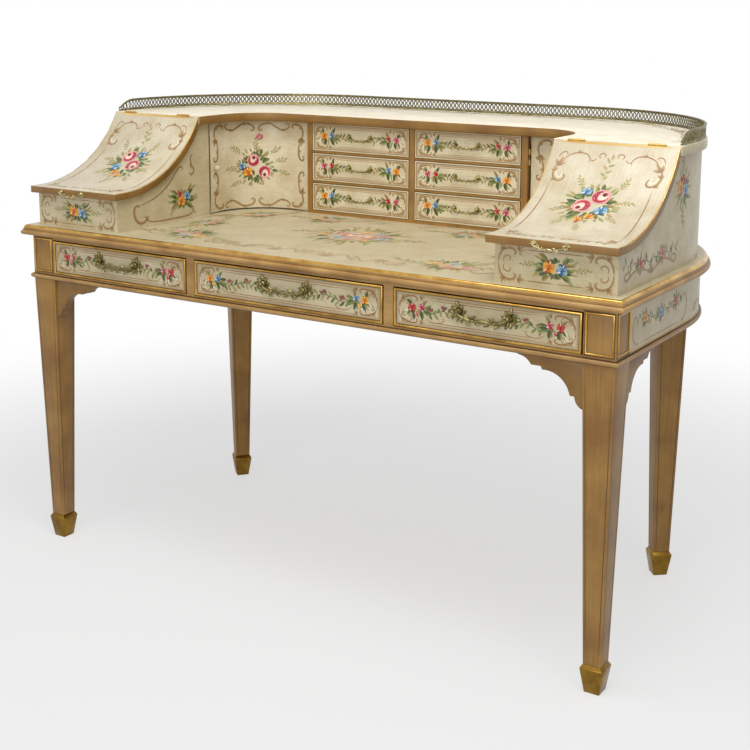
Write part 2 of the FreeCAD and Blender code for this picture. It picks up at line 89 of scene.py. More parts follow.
def coat(tree, shader, colour, grain, rough, relief, span=(0.0, 1.0)):
    """Ends a finish: its colour, its roughness from one value to another over a span of the grain,
    and a shallow relief given as what it follows, its strength and its depth."""
    limits = {"From Min": span[0], "From Max": span[1], "To Min": rough[0], "To Max": rough[1]}
    gloss = add(tree, "MapRange", limits, {"Value": grain})
    height, strength, depth = relief
    bump = add(tree, "Bump", {"Strength": strength, "Distance": depth * MM}, {"Height": height})
    ends = {"Base Color": colour, "Roughness": gloss.outputs[0], "Normal": bump.outputs[0]}
    for name, output in ends.items():
        tree.links.new(output, shader.inputs[name])


def tan_glaze(name, run, dark="#906A2A", middle="#9C7434", pale="#A8803F"):
    """Raw-sienna glaze brushed along the run of the wood: fine streaks, soft clouds, satin varnish."""
    made, tree, shader, place = new_finish(name)
    along = add(tree, "Mapping", {"Scale": [1 / (length * MM) for length in run]}, {"Vector": place})
    streak = add(tree, "TexNoise", {"Scale": 1, "Detail": 6, "Roughness": 0.65}, {"Vector": along})
    cloud = add(tree, "TexNoise", {"Scale": 1 / (70 * MM), "Detail": 3}, {"Vector": place})
    fine = add(tree, "ValToRGB", {"stops": [(0.25, dark), (0.5, middle), (0.75, pale)]}, {"Fac": streak})
    broad = add(tree, "ValToRGB", {"stops": [(0.3, "#C9B79B"), (0.65, "#FFFFFF")]}, {"Fac": cloud})
    colour = add(tree, "Mix", {"data_type": "RGBA", "blend_type": "MULTIPLY", 0: 0.8}, {6: fine, 7: broad})
    coat(tree, shader, colour.outputs[2], streak, (0.34, 0.52), (streak, 0.25, 0.15))
    return made


tan_upright = tan_glaze("tan_glaze_upright", (5, 5, 160))
tan_across = tan_glaze("tan_glaze_across", (160, 5, 5), "#7E5B22", "#8A652B", "#967036")
# A lighter tan for the mouldings and rails: painted light, where front light falls on them.
tan_with_painted_light = tan_glaze("tan_glaze_with_painted_light_on_mouldings", (160, 160, 5), "#A27E46", "#AE884E", "#BA955B")
# Umber: painted shade in the drawer gaps, in the quirks and along the foot of raised beads.
umber_painted_shade = tan_glaze("umber_painted_shade_in_gaps_and_quirks", (60, 60, 5), "#3E2A12", "#523818", "#68491F")


def add_piece(name, bm, body, finishes, replaced=(), sharp=32):
    """Turns a bmesh into a piece of the object that rides on a body."""
    mesh = bpy.data.meshes.new(name)
    bm.to_mesh(mesh)
    bm.free()
    for finish in finishes:
        mesh.materials.append(finish)
    mesh.shade_smooth()
    mesh.set_sharp_from_angle(angle=math.radians(sharp))
    made = bpy.data.objects.new(name, mesh)
    bpy.context.scene.collection.objects.link(made)
    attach(made, body)
    if replaced:
        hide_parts(*replaced)


def eased(node, width):
    """A copy of a CAD node as one closed skin of flat faces, with its sharp edges rubbed round."""
    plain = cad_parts[node].data.copy()
    for name in ("custom_normal", "sharp_edge", "sharp_face"):
        if name in plain.attributes:
            plain.attributes.remove(plain.attributes[name])
    bm = bmesh.new()
    bm.from_mesh(plain)
    bpy.data.meshes.remove(plain)
    bmesh.ops.remove_doubles(bm, verts=bm.verts, dist=merge_distance * MM)
    bmesh.ops.dissolve_limit(bm, angle_limit=math.radians(flat_angle), verts=bm.verts, edges=bm.edges)
    for face in bm.faces:
        face.material_index = 0
    sharp = math.radians(edge_angle)
    edges = [edge for edge in bm.edges if edge.is_manifold and edge.calc_face_angle() > sharp]
    bmesh.ops.bevel(bm, geom=edges, offset=width * MM, affect="EDGES", segments=2, profile=0.5, material=-1)
    return bm


add_piece("tapered_legs", eased("legs", leg_edge), "carcass", [tan_upright], ["legs"])

# Spade feet
# A small gilded spade shoe under each leg, bevelled at its top edge and tapering to the floor.
# Gold leaf over a warm bole, rubbed thin and brown by wear.

foot_edge = 0.8


def gold_leaf(name, bright, thin, worn, rough=(0.24, 0.4)):
    """Burnished leaf: soft long patches, browner where it is thin, small scratches in the gloss."""
    made, tree, shader, place = new_finish(name, 1.0)
    patch = add(tree, "TexNoise", {"Scale": 1 / (45 * MM), "Detail": 5, "Roughness": 0.6}, {"Vector": place})
    leaf = add(tree, "ValToRGB", {"stops": [(0.22, worn), (0.42, thin), (0.62, bright)]}, {"Fac": patch})
    grain = add(tree, "TexNoise", {"Scale": 1 / (1.5 * MM), "Detail": 4}, {"Vector": place})
    coat(tree, shader, leaf.outputs[0], patch, rough[::-1], (grain, 0.12, 0.08), (0.3, 0.7))
    return made


gilt = gold_leaf("burnished_gold_leaf", "#D6B46E", "#BE944A", "#946C30")
gilt_foot = gold_leaf("rubbed_gold_leaf", "#91702F", "#775823", "#5E4419")
add_piece("spade_shoes", eased("spade_feet", foot_edge), "carcass", [gilt_foot], ["spade_feet"])

# Brackets
# Fretted corner brackets between the legs and the frieze, sawn from a board and glazed like the legs.

bracket_edge = 1.0
add_piece("fretted_brackets", eased("leg_brackets", bracket_edge), "carcass", [tan_across],
          ["leg_brackets"])

# Frieze boards, rails and bead
# Tan rails and dividers frame the drawers, in a lighter tan that is painted light; side and back boards are
# painted a darker cream that is painted shade.
# A half-round tan bead runs all round under them; its top and bottom faces are umber, painted shade of the
# drawer gap above and of the shadow below it; bare runners carry the drawers.

side_x = 730
front_y = -390
corner_x = 315
corner_y = -25
corner_radius = 415
arc_steps = 28
bead_radius = 6
bead_under = 643
bead_steps = 8
bead_unshaded_share = 0.8


def antique_cream(name, pale, shade, run=(50, 50, 3), gloss=(0.28, 0.46)):
    """Cream oil paint, brushed, finely crackled and toned with a brown glaze that gathers along the edges."""
    made, tree, shader, place = new_finish(name)
    cloud = add(tree, "TexNoise", {"Scale": 1 / (60 * MM), "Detail": 4, "Roughness": 0.6}, {"Vector": place})
    ground = add(tree, "ValToRGB", {"stops": [(0.3, shade), (0.68, pale)]}, {"Fac": cloud})
    along = add(tree, "Mapping", {"Scale": [1 / (length * MM) for length in run]}, {"Vector": place})
    brush = add(tree, "TexNoise", {"Scale": 1, "Detail": 5, "Roughness": 0.7}, {"Vector": along})
    tone = add(tree, "ValToRGB", {"stops": [(0.28, "#DCCDB0"), (0.6, "#FFFFFF")]}, {"Fac": brush})
    brushed = add(tree, "Mix", {"data_type": "RGBA", "blend_type": "MULTIPLY", 0: 0.35}, {6: ground, 7: tone})
    crackle = add(tree, "TexVoronoi", {"feature": "DISTANCE_TO_EDGE", "Scale": 1 / (6 * MM)},
                  {"Vector": place})
    hair = add(tree, "MapRange", {"From Max": 0.07, "To Min": 0.28, "To Max": 0.0}, {"Value": crackle})
    cracked = add(tree, "Mix", {"data_type": "RGBA", 7: linear("#A08A64")}, {0: hair, 6: brushed.outputs[2]})
    edge = add(tree, "Attribute", {"attribute_name": "glaze"})
    uneven = add(tree, "MapRange", {"From Min": 0.2, "From Max": 0.75, "To Min": 0.35, "To Max": 1.0},
                 {"Value": cloud})
    gather = add(tree, "Math", {"operation": "MULTIPLY"}, {0: edge.outputs["Fac"], 1: uneven})
    toned = add(tree, "Mix", {"data_type": "RGBA", 7: linear("#86643A")}, {0: gather, 6: cracked.outputs[2]})
    coat(tree, shader, toned.outputs[2], brush, gloss, (brush, 0.15, 0.12))
    return made


def beech(name):
    """Plain sawn beech: pale, with a short fleck and a dry, unvarnished face."""
    made, tree, shader, place = new_finish(name)
    along = add(tree, "Mapping", {"Scale": [1 / (length * MM) for length in (4, 90, 4)]}, {"Vector": place})
    fleck = add(tree, "TexNoise", {"Scale": 1, "Detail": 7, "Roughness": 0.7}, {"Vector": along})
    colour = add(tree, "ValToRGB", {"stops": [(0.3, "#A47E52"), (0.52, "#C29C6C"), (0.72, "#D2B084")]},
                 {"Fac": fleck})
    coat(tree, shader, colour.outputs[0], fleck, (0.62, 0.8), (fleck, 0.3, 0.2))
    return made


# A darker cream for the frieze boards, the drawer fronts and the wells: painted shade, where less light
# falls.
cream_with_painted_shade = antique_cream("antique_cream_darkened_as_painted_shade", "#D1C6A6", "#BAAC86")
bare_wood = beech("sawn_beech")


def d_stations(start=front_y):
    """Stations round the D from the right side, at start, over the back to the left side.
    Each is a place on the carcass line and the outward direction there; at the front corner it is mitred."""
    first = Vector((1, -1)) if start == front_y else Vector((1, 0))
    right = [(Vector((side_x, start)), first), (Vector((side_x, corner_y)), Vector((1, 0)))]
    for step in range(1, arc_steps + 1):
        turn = math.pi / 2 * step / arc_steps
        out = Vector((math.cos(turn), math.sin(turn)))
        right.append((Vector((corner_x, corner_y)) + corner_radius * out, out))
    left = [(Vector((-at.x, at.y)), Vector((-out.x, out.y))) for at, out in reversed(right)]
    return right + left


def sweep(bm, section, stations, closed, drops=None):
    """Runs a section of (out, height) points through the stations and skins it."""
    rings = []
    for number, (at, out) in enumerate(stations):
        drop = drops[number] if drops else 0
        ring = [bm.verts.new(Vector((at.x + out.x * o, at.y + out.y * o, z + drop)) * MM) for o, z in section]
        rings.append([bm.edges.new((ring[i - 1], ring[i])) for i in range(len(ring))])
    for one, other in list(zip(rings, rings[1:])) + ([(rings[-1], rings[0])] if closed else []):
        bmesh.ops.bridge_loops(bm, edges=one + other)
    if not closed:
        for end in (rings[0], rings[-1]):
            bmesh.ops.contextual_create(bm, geom=end)
    bmesh.ops.recalc_face_normals(bm, faces=bm.faces)
    return bm


def dress(finish, *nodes):
    """Gives CAD nodes whose shape is right a finish of their own."""
    for node in nodes:
        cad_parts[node].data.materials.clear()
        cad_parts[node].data.materials.append(finish)


half_round = []
for step in range(bead_steps + 1):
    turn = math.pi * step / bead_steps - math.pi / 2
    half_round.append((bead_radius * math.cos(turn), bead_under + bead_radius * (1 + math.sin(turn))))
bead = sweep(bmesh.new(), half_round, d_stations(), True)
for face in bead.faces:
    if abs(face.calc_center_median().z / MM - bead_under - bead_radius) > bead_unshaded_share * bead_radius:
        face.material_index = 1
add_piece("frieze_bead", bead, "carcass", [tan_with_painted_light, umber_painted_shade], ["frieze_astragal"], 50)
dress(tan_with_painted_light, "front_rails")
dress(cream_with_painted_shade, "frieze_apron")
dress(bare_wood, "drawer_runners")

# Gilt frames on the corner blocks
# Small half-round gilt mouldings, mitred into frames, planted on the two outer faces of each front leg block;
# their gold is darkened as painted shade.
# An umber line round each is painted shade along the foot of the bead.

frame_width = 6
frame_proud = 2.5
frame_round = 0.8
quirk_line = 1.4
block_half = 32.5
block_frame = (669, 726, 660, 740)
rim_angle = 45


def framed_sheet(bm, x0, x1, z0, z1, face, width):
    """A flat sheet that looks to the front, with a margin inset round it; returns the field inside."""
    grid = bmesh.ops.create_grid(bm, x_segments=1, y_segments=1, size=1)["verts"]
    for vert in grid:
        vert.co = Vector((x1 if vert.co.x > 0 else x0, face, z1 if vert.co.y > 0 else z0)) * MM
    bm.normal_update()
    field = grid[0].link_faces[0]
    bmesh.ops.inset_region(bm, faces=[field], thickness=width * MM, use_boundary=True)
    return field


def round_over(bm, face, proud, share):
    """Rounds the front edges of a moulding that stands proud of a face, by a share of its height."""
    rim = [edge for edge in bm.edges if all(vert.co.y < (face - proud / 2) * MM for vert in edge.verts)
           and edge.calc_face_angle(0) > math.radians(rim_angle)]
    bmesh.ops.bevel(bm, geom=rim, offset=proud * share * MM, affect="EDGES", segments=3, profile=0.5,
                    material=-1)


def verts_in(geom):
    return [part for part in geom if isinstance(part, bmesh.types.BMVert)]


def block_frames():
    """Both frames of both blocks: 0 the gilt bead, 1 the umber line of painted shade round it."""
    bm = bmesh.new()
    x0, x1, z0, z1 = block_frame
    for grow, proud, finish in ((quirk_line, quirk_line / 2, 1), (0, frame_proud, 0)):
        one = bmesh.new()
        width = frame_width + 2 * grow
        field = framed_sheet(one, x0 - grow, x1 + grow, z0 - grow, z1 + grow, front_y, width)
        bmesh.ops.delete(one, geom=[field], context="FACES")
        bmesh.ops.solidify(one, geom=one.faces[:], thickness=proud * MM)
        back = (front_y - proud) * MM - min(vert.co.y for vert in one.verts)
        bmesh.ops.translate(one, vec=(0, back, 0), verts=one.verts)
        bmesh.ops.recalc_face_normals(one, faces=one.faces)
        round_over(one, front_y, proud, frame_round)
        for face in one.faces:
            face.material_index = finish
        made = bpy.data.meshes.new("frame")
        one.to_mesh(made)
        one.free()
        bm.from_mesh(made)
        bpy.data.meshes.remove(made)
    block = Vector((side_x - block_half, front_y + block_half, 0)) * MM
    turned = bmesh.ops.duplicate(bm, geom=bm.verts[:] + bm.edges[:] + bm.faces[:])["geom"]
    bmesh.ops.rotate(bm, cent=block, matrix=Matrix.Rotation(math.pi / 2, 3, "Z"), verts=verts_in(turned))
    bmesh.ops.mirror(bm, geom=bm.verts[:] + bm.edges[:] + bm.faces[:], axis="X", merge_dist=-1)
    bmesh.ops.recalc_face_normals(bm, faces=bm.faces)
    return bm


# Gold leaf on the beads, darkened as painted shade under the nosing.
gilt_darkened_as_shade = gold_leaf("gold_leaf_darkened_as_painted_shade", "#C09A50", "#A67E3C", "#7E5C28", (0.16, 0.3))
add_piece("block_frames", block_frames(), "carcass", [gilt_darkened_as_shade, umber_painted_shade], ["leg_beads"], 50)

# Writing top and its moulded edge
# The top is a D-shaped board painted cream, with a nosing planted round it: a tan roll below, lightened as
# painted light, two quirks darkened as painted shade, and a burnished gold ovolo above. The flat of the
# nosing is painted with the board.

top_height = 770
nose_section = [(0, 746), (13, 746), (16.8, 747), (19.2, 749.4), (20, 752.2), (19.2, 755), (17.2, 757.4),
                (15.6, 758), (15, 758.9), (15.8, 759.5), (15.8, 760.6), (14.6, 761.2), (14.2, 762.2),
                (13.8, 764.4), (12.8, 766.6), (11.2, 768.4), (9.4, 769.6), (8, top_height), (0, top_height)]
quirks = ((757.7, 759.1), (760.7, 761.9))
gold_from = 763.4
flat_from = 769.9
cream_top = antique_cream("antique_cream_on_the_top", "#C6BB9C", "#B9AC89", (90, 5, 60), (0.34, 0.46))
edge_gilt = gold_leaf("burnished_gold_on_the_edge", "#D2AC62", "#B68A40", "#8E662C", (0.12, 0.24))
# Darker tan in the quirks of the nosing: painted shade.
quirk_painted_shade = tan_glaze("tan_painted_shade_in_the_quirks", (60, 60, 5), "#80602C", "#906C34", "#A07A3E")
nosing = sweep(bmesh.new(), nose_section, d_stations(), True)
for face in nosing.faces:
    height = face.calc_center_median().z / MM
    if height > gold_from:
        face.material_index = 1
    if any(low < height < high for low, high in quirks):
        face.material_index = 2
    if height > flat_from:
        face.material_index = 3
add_piece("moulded_edge", nosing, "carcass", [tan_with_painted_light, edge_gilt, quirk_painted_shade, cream_top],
          ["top_moulding"], 40)
dress(cream_top, "writing_top")

# Case, wells and nest
# Boards of the two wells are painted a darker cream that is painted shade, and the bent back of the case is
# painted cream; the nest that holds the small drawers is glazed tan.

dress(cream_with_painted_shade, "well_boards")
dress(antique_cream("antique_cream_paint", "#D6CCB0", "#C0B18D"), "case_back")
dress(tan_upright, "drawer_nest")

# Shelf
# One U-shaped board over the case, its edges rubbed well round. It is cream on top, whitened in part as a
# painted sheen, and round its outer edge a darker cream that is painted shade; the edge over the drawers is
# tan.

shelf_edge = 3.0
shelf_middle = Vector((0, corner_y))
level_share = 0.8


def painted(bm, finish_of):
    """Gives every face of a board the finish that its direction and its place call for."""
    for face in bm.faces:
        face.material_index = finish_of(face.normal, face.calc_center_median() / MM)
    return bm


def shelf_finish(normal, centre):
    """0 the top, 1 the inner edge and the underside, 2 the outer edge."""
    if normal.z > level_share:
        return 0
    outward = normal.xy.dot(centre.xy - shelf_middle) > 0
    return 2 if outward and abs(normal.z) < level_share else 1


# A near-white cream on the shelf, partly a painted sheen.
cream_with_painted_sheen = antique_cream("antique_cream_with_painted_sheen_on_the_shelf", "#F1EAD8", "#E2D8C0", (60, 4, 60), (0.45, 0.6))
add_piece("painted_shelf", painted(eased("top_shelf", shelf_edge), shelf_finish), "carcass",
          [cream_with_painted_sheen, tan_across, cream_with_painted_shade], ["top_shelf"])

# Gallery
# A low brass gallery stands along the back of the shelf: a rail above and below,
# and between them a fret of interlaced rings. It ramps down at its two ends.

gallery_out = -3
gallery_start = -91
gallery_foot = 1015
gallery_height = 28
gallery_end = 9
gallery_ramp = 50
rail_half = 2.5
rail_height = 4
ring_pitch = 11
ring_width = 2.2
ring_sides = 12
ring_let_in = 0.6
least_ring = 4


def old_brass(name, bright, dull, dark, patch=7):
    """Cast brass, toned and handled: dark in some patches and rubbed bright in others."""
    made, tree, shader, place = new_finish(name, 1.0)
    tarnish = add(tree, "TexNoise", {"Scale": 1 / (patch * MM), "Detail": 6, "Roughness": 0.65},
                  {"Vector": place})
    colour = add(tree, "ValToRGB", {"stops": [(0.32, dark), (0.5, dull), (0.68, bright)]}, {"Fac": tarnish})
    cast = add(tree, "TexNoise", {"Scale": 1 / (1.2 * MM), "Detail": 4}, {"Vector": place})
    coat(tree, shader, colour.outputs[0], tarnish, (0.48, 0.26), (cast, 0.25, 0.1), (0.3, 0.7))
    return made


gallery_brass = old_brass("toned_gallery_brass", "#A0925F", "#736A45", "#46412A")


def d_point(out, run, z):
    """A place on the D line moved outwards, run millimetres from the middle of the back towards the left."""
    hand = 1 if run >= 0 else -1
    run = abs(run)
    arc = (corner_radius + out) * math.pi / 2
    if run <= corner_x:
        x, y = run, corner_y + corner_radius + out
    elif run <= corner_x + arc:
        turn = (run - corner_x) / (corner_radius + out)
        x = corner_x + (corner_radius + out) * math.sin(turn)
        y = corner_y + (corner_radius + out) * math.cos(turn)
    else:
        x, y = side_x + out, corner_y - (run - corner_x - arc)
    return Vector((-hand * x, y, z)) * MM


def gallery_top(run, reach):
    """Height of the top rail, which falls in a curve over the last stretch at either end."""
    share = min(1.0, (reach - abs(run)) / gallery_ramp)
    return gallery_end + (gallery_height - gallery_end) * math.sin(share * math.pi / 2)


def gallery():
    bm = bmesh.new()
    reach = corner_x + (corner_radius + gallery_out) * math.pi / 2 + corner_y - gallery_start
    lead = [gallery_start + gallery_ramp * share for share in (0, 0.1, 0.2, 0.35, 0.5, 0.7, 1.0)]
    right = [(Vector((side_x, y)), Vector((1, 0))) for y in lead]
    left = [(Vector((-side_x, y)), Vector((-1, 0))) for y in reversed(lead)]
    stations = right + d_stations(corner_y - 1)[1:-1] + left
    ramp_end = gallery_start + gallery_ramp
    heights = [gallery_top(reach - (at.y - gallery_start), reach) if at.y < ramp_end else gallery_height
               for at, out in stations]
    inner, outer = gallery_out - rail_half, gallery_out + rail_half
    foot = [(outer, 0), (outer, 2.6), (outer - 1, rail_height),
            (inner + 1, rail_height), (inner, 2.6), (inner, 0)]
    cap = [(outer, 1), (outer, 3), (outer - 1.2, rail_height),
           (inner + 1.2, rail_height), (inner, 3), (inner, 1), (inner + 1, 0), (outer - 1, 0)]
    sweep(bm, [(o, z + gallery_foot) for o, z in foot], stations, False)
    sweep(bm, [(o, z + gallery_foot - rail_height) for o, z in cap], stations, False, heights)
    count = round(2 * reach / ring_pitch)
    for number in range(1, count):
        middle = -reach + 2 * reach * number / count
        room = gallery_top(middle, reach) - 2 * rail_height
        radius = room / 2 + ring_let_in
        if room < least_ring:
            continue
        circles = [bmesh.ops.create_circle(bm, segments=ring_sides, radius=size)["verts"]
                   for size in (radius, radius - ring_width)]
        rim = list({edge for circle in circles for vert in circle for edge in vert.link_edges})
        flat = bmesh.ops.bridge_loops(bm, edges=rim)["faces"]
        bmesh.ops.solidify(bm, geom=flat, thickness=ring_width)
        ring = {vert for face in flat for vert in face.verts}
        ring |= {other for vert in list(ring) for edge in vert.link_edges for other in edge.verts}
        for vert in ring:
            height = gallery_foot + rail_height + room / 2 + vert.co.y
            vert.co = d_point(gallery_out + vert.co.z - ring_width / 2, middle + vert.co.x, height)
    bmesh.ops.recalc_face_normals(bm, faces=bm.faces)
    return bm


add_piece("pierced_gallery", gallery(), "carcass", [gallery_brass], ["gallery"], 40)

# Lids
# Each well has a hollow-curved lid that swings up on two butt hinges.
# It is cream on its face with tan edges, and its rubbed side arrises are gilt.

panel_edge = 1.2
lid_face_share = 0.35
lid_arris = (0.25, 0.95)
sides = (("left", -1), ("right", 1))


def lid_finish(normal, centre):
    """0 the hollow face, 1 the edges and the underside, 2 the rubbed arrises along the sides."""
    if lid_arris[0] < abs(normal.x) < lid_arris[1] and normal.z > 0:
        return 2
    return 0 if normal.z > lid_face_share else 1


cream_lid = antique_cream("antique_cream_on_the_lids", "#D0C7B0", "#BCAF90", (4, 60, 60))
for side, hand in sides:
    lid = painted(eased(side + "_lid", panel_edge), lid_finish)
    add_piece(side + "_painted_lid", lid, side + "_lid", [cream_lid, tan_across, gilt],
              [side + "_lid"])

# Doors and hinges
# Two bowed cupboard doors, cream with umber edges that are painted shade in the gaps, each with a small
# turned knob painted like the door.
# They hang on plain brass butts; the butts of the lids are gilt to match the line along the hinge edge.

door_hinge_x = 300.5
door_hinge_edge = 2
door_end_y = -44
door_flat_share = 0.5


def door_finish(normal, centre):
    """0 the faces, 1 the edges all round, umber as painted shade in the gaps."""
    at_end = abs(abs(centre.x) - door_hinge_x) < door_hinge_edge or centre.y < door_end_y
    return 1 if at_end or abs(normal.z) >= door_flat_share else 0


hinge_brass = old_brass("drawn_brass", "#8E7846", "#6E5A32", "#4A3A1E")
cream_case = antique_cream("antique_cream_in_the_case", "#DFD5B9", "#C9BA96")
for side, hand in sides:
    door = painted(eased(side + "_door", panel_edge), door_finish)
    add_piece(side + "_painted_door", door, side + "_door", [cream_case, umber_painted_shade],
              [side + "_door"])
    dress(hinge_brass, side + "_door_hinges")
    dress(cream_case, side + "_door_knob")
    dress(gilt, side + "_lid_hinges")
dress(gilt, "hinge_leaves")

# Drawers
# Each front is a cream panel inside a raised half-round bead, gilt on the frieze drawers and cream
# on the small ones. Brown glaze gathers inside the bead. On the frieze drawers an umber line inside the bead
# and umber sides in the gap are painted shade. The boxes behind are plain beech.

glaze_reach = 11
glaze_strength = 0.85
quirk_width = 1.6
reveal = 0.8
bead_round = 0.85


def bead_front(x0, x1, z0, z1, face, thickness, width, proud):
    """A drawer front with its bead worked on its face: 0 panel, 1 bead, 2 bare wood, 3 the line inside the
    bead and the sides in the gap, umber painted shade on the frieze drawers.
    """
    bm = bmesh.new()
    x0, x1, z0, z1 = x0 + reveal, x1 - reveal, z0 + reveal / 2, z1 - reveal
    glaze = bm.verts.layers.float.new("glaze")
    size = Vector((x1 - x0, thickness, z1 - z0)) * MM
    middle = Vector(((x0 + x1) / 2, face + thickness / 2, (z0 + z1) / 2)) * MM
    bmesh.ops.create_cube(bm, size=1, matrix=Matrix.Translation(middle) @ Matrix.Diagonal((*size, 1)))
    field = min(bm.faces, key=lambda f: f.calc_center_median().y)
    for other in bm.faces:
        other.material_index = 0 if other is field else 3
    margin = bmesh.ops.inset_region(bm, faces=[field], thickness=width * MM)["faces"]
    for strip in margin:
        strip.material_index = 1
    raised = bmesh.ops.extrude_face_region(bm, geom=margin)["geom"]
    bmesh.ops.translate(bm, vec=(0, -proud * MM, 0), verts=verts_in(raised))
    for other in bm.faces:
        if other.calc_center_median().y < face * MM and other is not field:
            other.material_index = 1
    round_over(bm, face, proud, bead_round)
    for strip in bmesh.ops.inset_region(bm, faces=[field], thickness=quirk_width * MM)["faces"]:
        strip.material_index = 3
    rim = bmesh.ops.inset_region(bm, faces=[field], thickness=glaze_reach * MM)["faces"]
    for vert in {vert for strip in rim for vert in strip.verts} - set(field.verts):
        vert[glaze] = glaze_strength
    return bm


def boards(bm, rooms):
    """Plain boards, each a box given by its two corners, with bare faces."""
    for low, high in rooms:
        low, high = Vector(low) * MM, Vector(high) * MM
        place = Matrix.Translation((low + high) / 2) @ Matrix.Diagonal((*(high - low), 1))
        made = bmesh.ops.create_cube(bm, size=1, matrix=place)["verts"]
        for face in {face for vert in made for face in vert.link_faces}:
            face.material_index = 2


frieze_low, frieze_high = 658.3, 737
frieze_middle = (frieze_low + frieze_high) / 2
frieze_front, frieze_bead, frieze_proud = 20, 7.5, 2.5
frieze_drawers = {"frieze_drawer_left": (-664, -264), "frieze_drawer_centre": (-240, 240),
                  "frieze_drawer_right": (264, 664)}
for node, (x0, x1) in frieze_drawers.items():
    front = bead_front(x0, x1, frieze_low, frieze_high, front_y, frieze_front, frieze_bead, frieze_proud)
    add_piece(node + "_panel", front, node, [cream_with_painted_shade, gilt_darkened_as_shade, bare_wood, umber_painted_shade],
              [node + "_front"], 45)
    dress(bare_wood, node + "_box")

small_face = 115
small_rear = 350
small_side, small_bottom, small_wall_share = 8, 5, 0.82
small_front, small_bead, small_proud = 12, 4, 1.5
small_columns = {"left": (-284, -8), "right": (8, 284)}
small_rows = {"bottom": (778.3, 845.667), "middle": (851.967, 919.333), "top": (925.633, 993)}
small_drawers = {"small_drawer_" + column + "_" + row: across + upright
                 for column, across in small_columns.items() for row, upright in small_rows.items()}
for node, (x0, x1, z0, z1) in small_drawers.items():
    drawer = bead_front(x0, x1, z0, z1, small_face, small_front, small_bead, small_proud)
    y0, wall = small_face + small_front, z0 + small_wall_share * (z1 - z0)
    back_y = small_rear - small_side
    boards(drawer, [
        ((x0, y0, z0), (x0 + small_side, small_rear, wall)),
        ((x1 - small_side, y0, z0), (x1, small_rear, wall)),
        ((x0 + small_side, back_y, z0), (x1 - small_side, small_rear, wall)),
        ((x0 + small_side, y0, z0), (x1 - small_side, back_y, z0 + small_bottom)),
    ])
    add_piece(node + "_painted", drawer, node, [cream_case, cream_case, bare_wood, tan_across],
              [node], 45)

# Pulls
# Cast brass bail pulls: two leafy rosettes pinned to the front, and a swagged bail that turns in their posts.
# The frieze drawers have them toned nearly olive, the small drawers paler; the lids have them bright.

olive_brass = old_brass("olive_toned_brass", "#A89B6B", "#786F45", "#403A22", 5)
small_brass = old_brass("pale_olive_brass", "#C2B884", "#948B58", "#5A5330", 5)
bright_brass = old_brass("bright_cast_brass", "#D8CCA0", "#A89A6C", "#5E5436", 5)
rosette_leaves = ((80, 20, 11), (40, 17, 10), (5, 20, 11), (-35, 15, 9), (-80, 15, 9), (120, 16, 9),
                  (165, 15, 9), (-150, 26, 12), (-115, 18, 9))
rosette_thick = 3
bail_leaves = ((0.14, -20, 15), (0.2, -70, 12), (0.26, 40, 13), (0.36, -35, 11), (0.46, 15, 9))
bail_leaf_width, bail_leaf_thick = 8, 2.6
bail_stations = 22
bail_thin, bail_swell = 2.1, 1.0
leaf_drop = 2.5


def mirrored(heading, hand):
    """A heading on the right hand, or its mirror image on the left."""
    return heading if hand > 0 else 180 - heading


def cast_leaf(bm, place, u, v, heading, length, width, thick):
    """One leaf of the casting: a flattened drop with a crease down it and a lifted tip."""
    turn = math.radians(heading)
    for vert in bmesh.ops.create_uvsphere(bm, u_segments=8, v_segments=6, radius=1)["verts"]:
        along = (vert.co.x + 1) / 2
        across = vert.co.y * width / 2 * (1.25 - 0.8 * along)
        depth = thick * (vert.co.z * (0.7 + 0.3 * abs(vert.co.y)) if vert.co.z > 0 else vert.co.z * 0.2)
        depth += thick * 0.9 * along * along
        x = u + length * along * math.cos(turn) - across * math.sin(turn)
        z = v + length * along * math.sin(turn) + across * math.cos(turn)
        vert.co = place(x, z, depth)


def rosettes(place, spacing, scale, reach):
    """Both rosettes of a pull: a fan of leaves, a boss and the post that the bail turns in."""
    bm = bmesh.new()
    for hand in (-1, 1):
        for heading, length, width in rosette_leaves:
            cast_leaf(bm, place, hand * spacing / 2, -leaf_drop * scale, mirrored(heading, hand),
                      length * scale, width * scale, rosette_thick * scale)
        for radius, depth in ((6.5, 2), (4.4, reach * 0.55), (4.2, reach)):
            ball = bmesh.ops.create_uvsphere(bm, u_segments=12, v_segments=8, radius=radius * scale)
            for vert in ball["verts"]:
                vert.co = place(hand * spacing / 2 + vert.co.x, vert.co.y, max(depth + vert.co.z, 0))
    bmesh.ops.recalc_face_normals(bm, faces=bm.faces)
    return bm


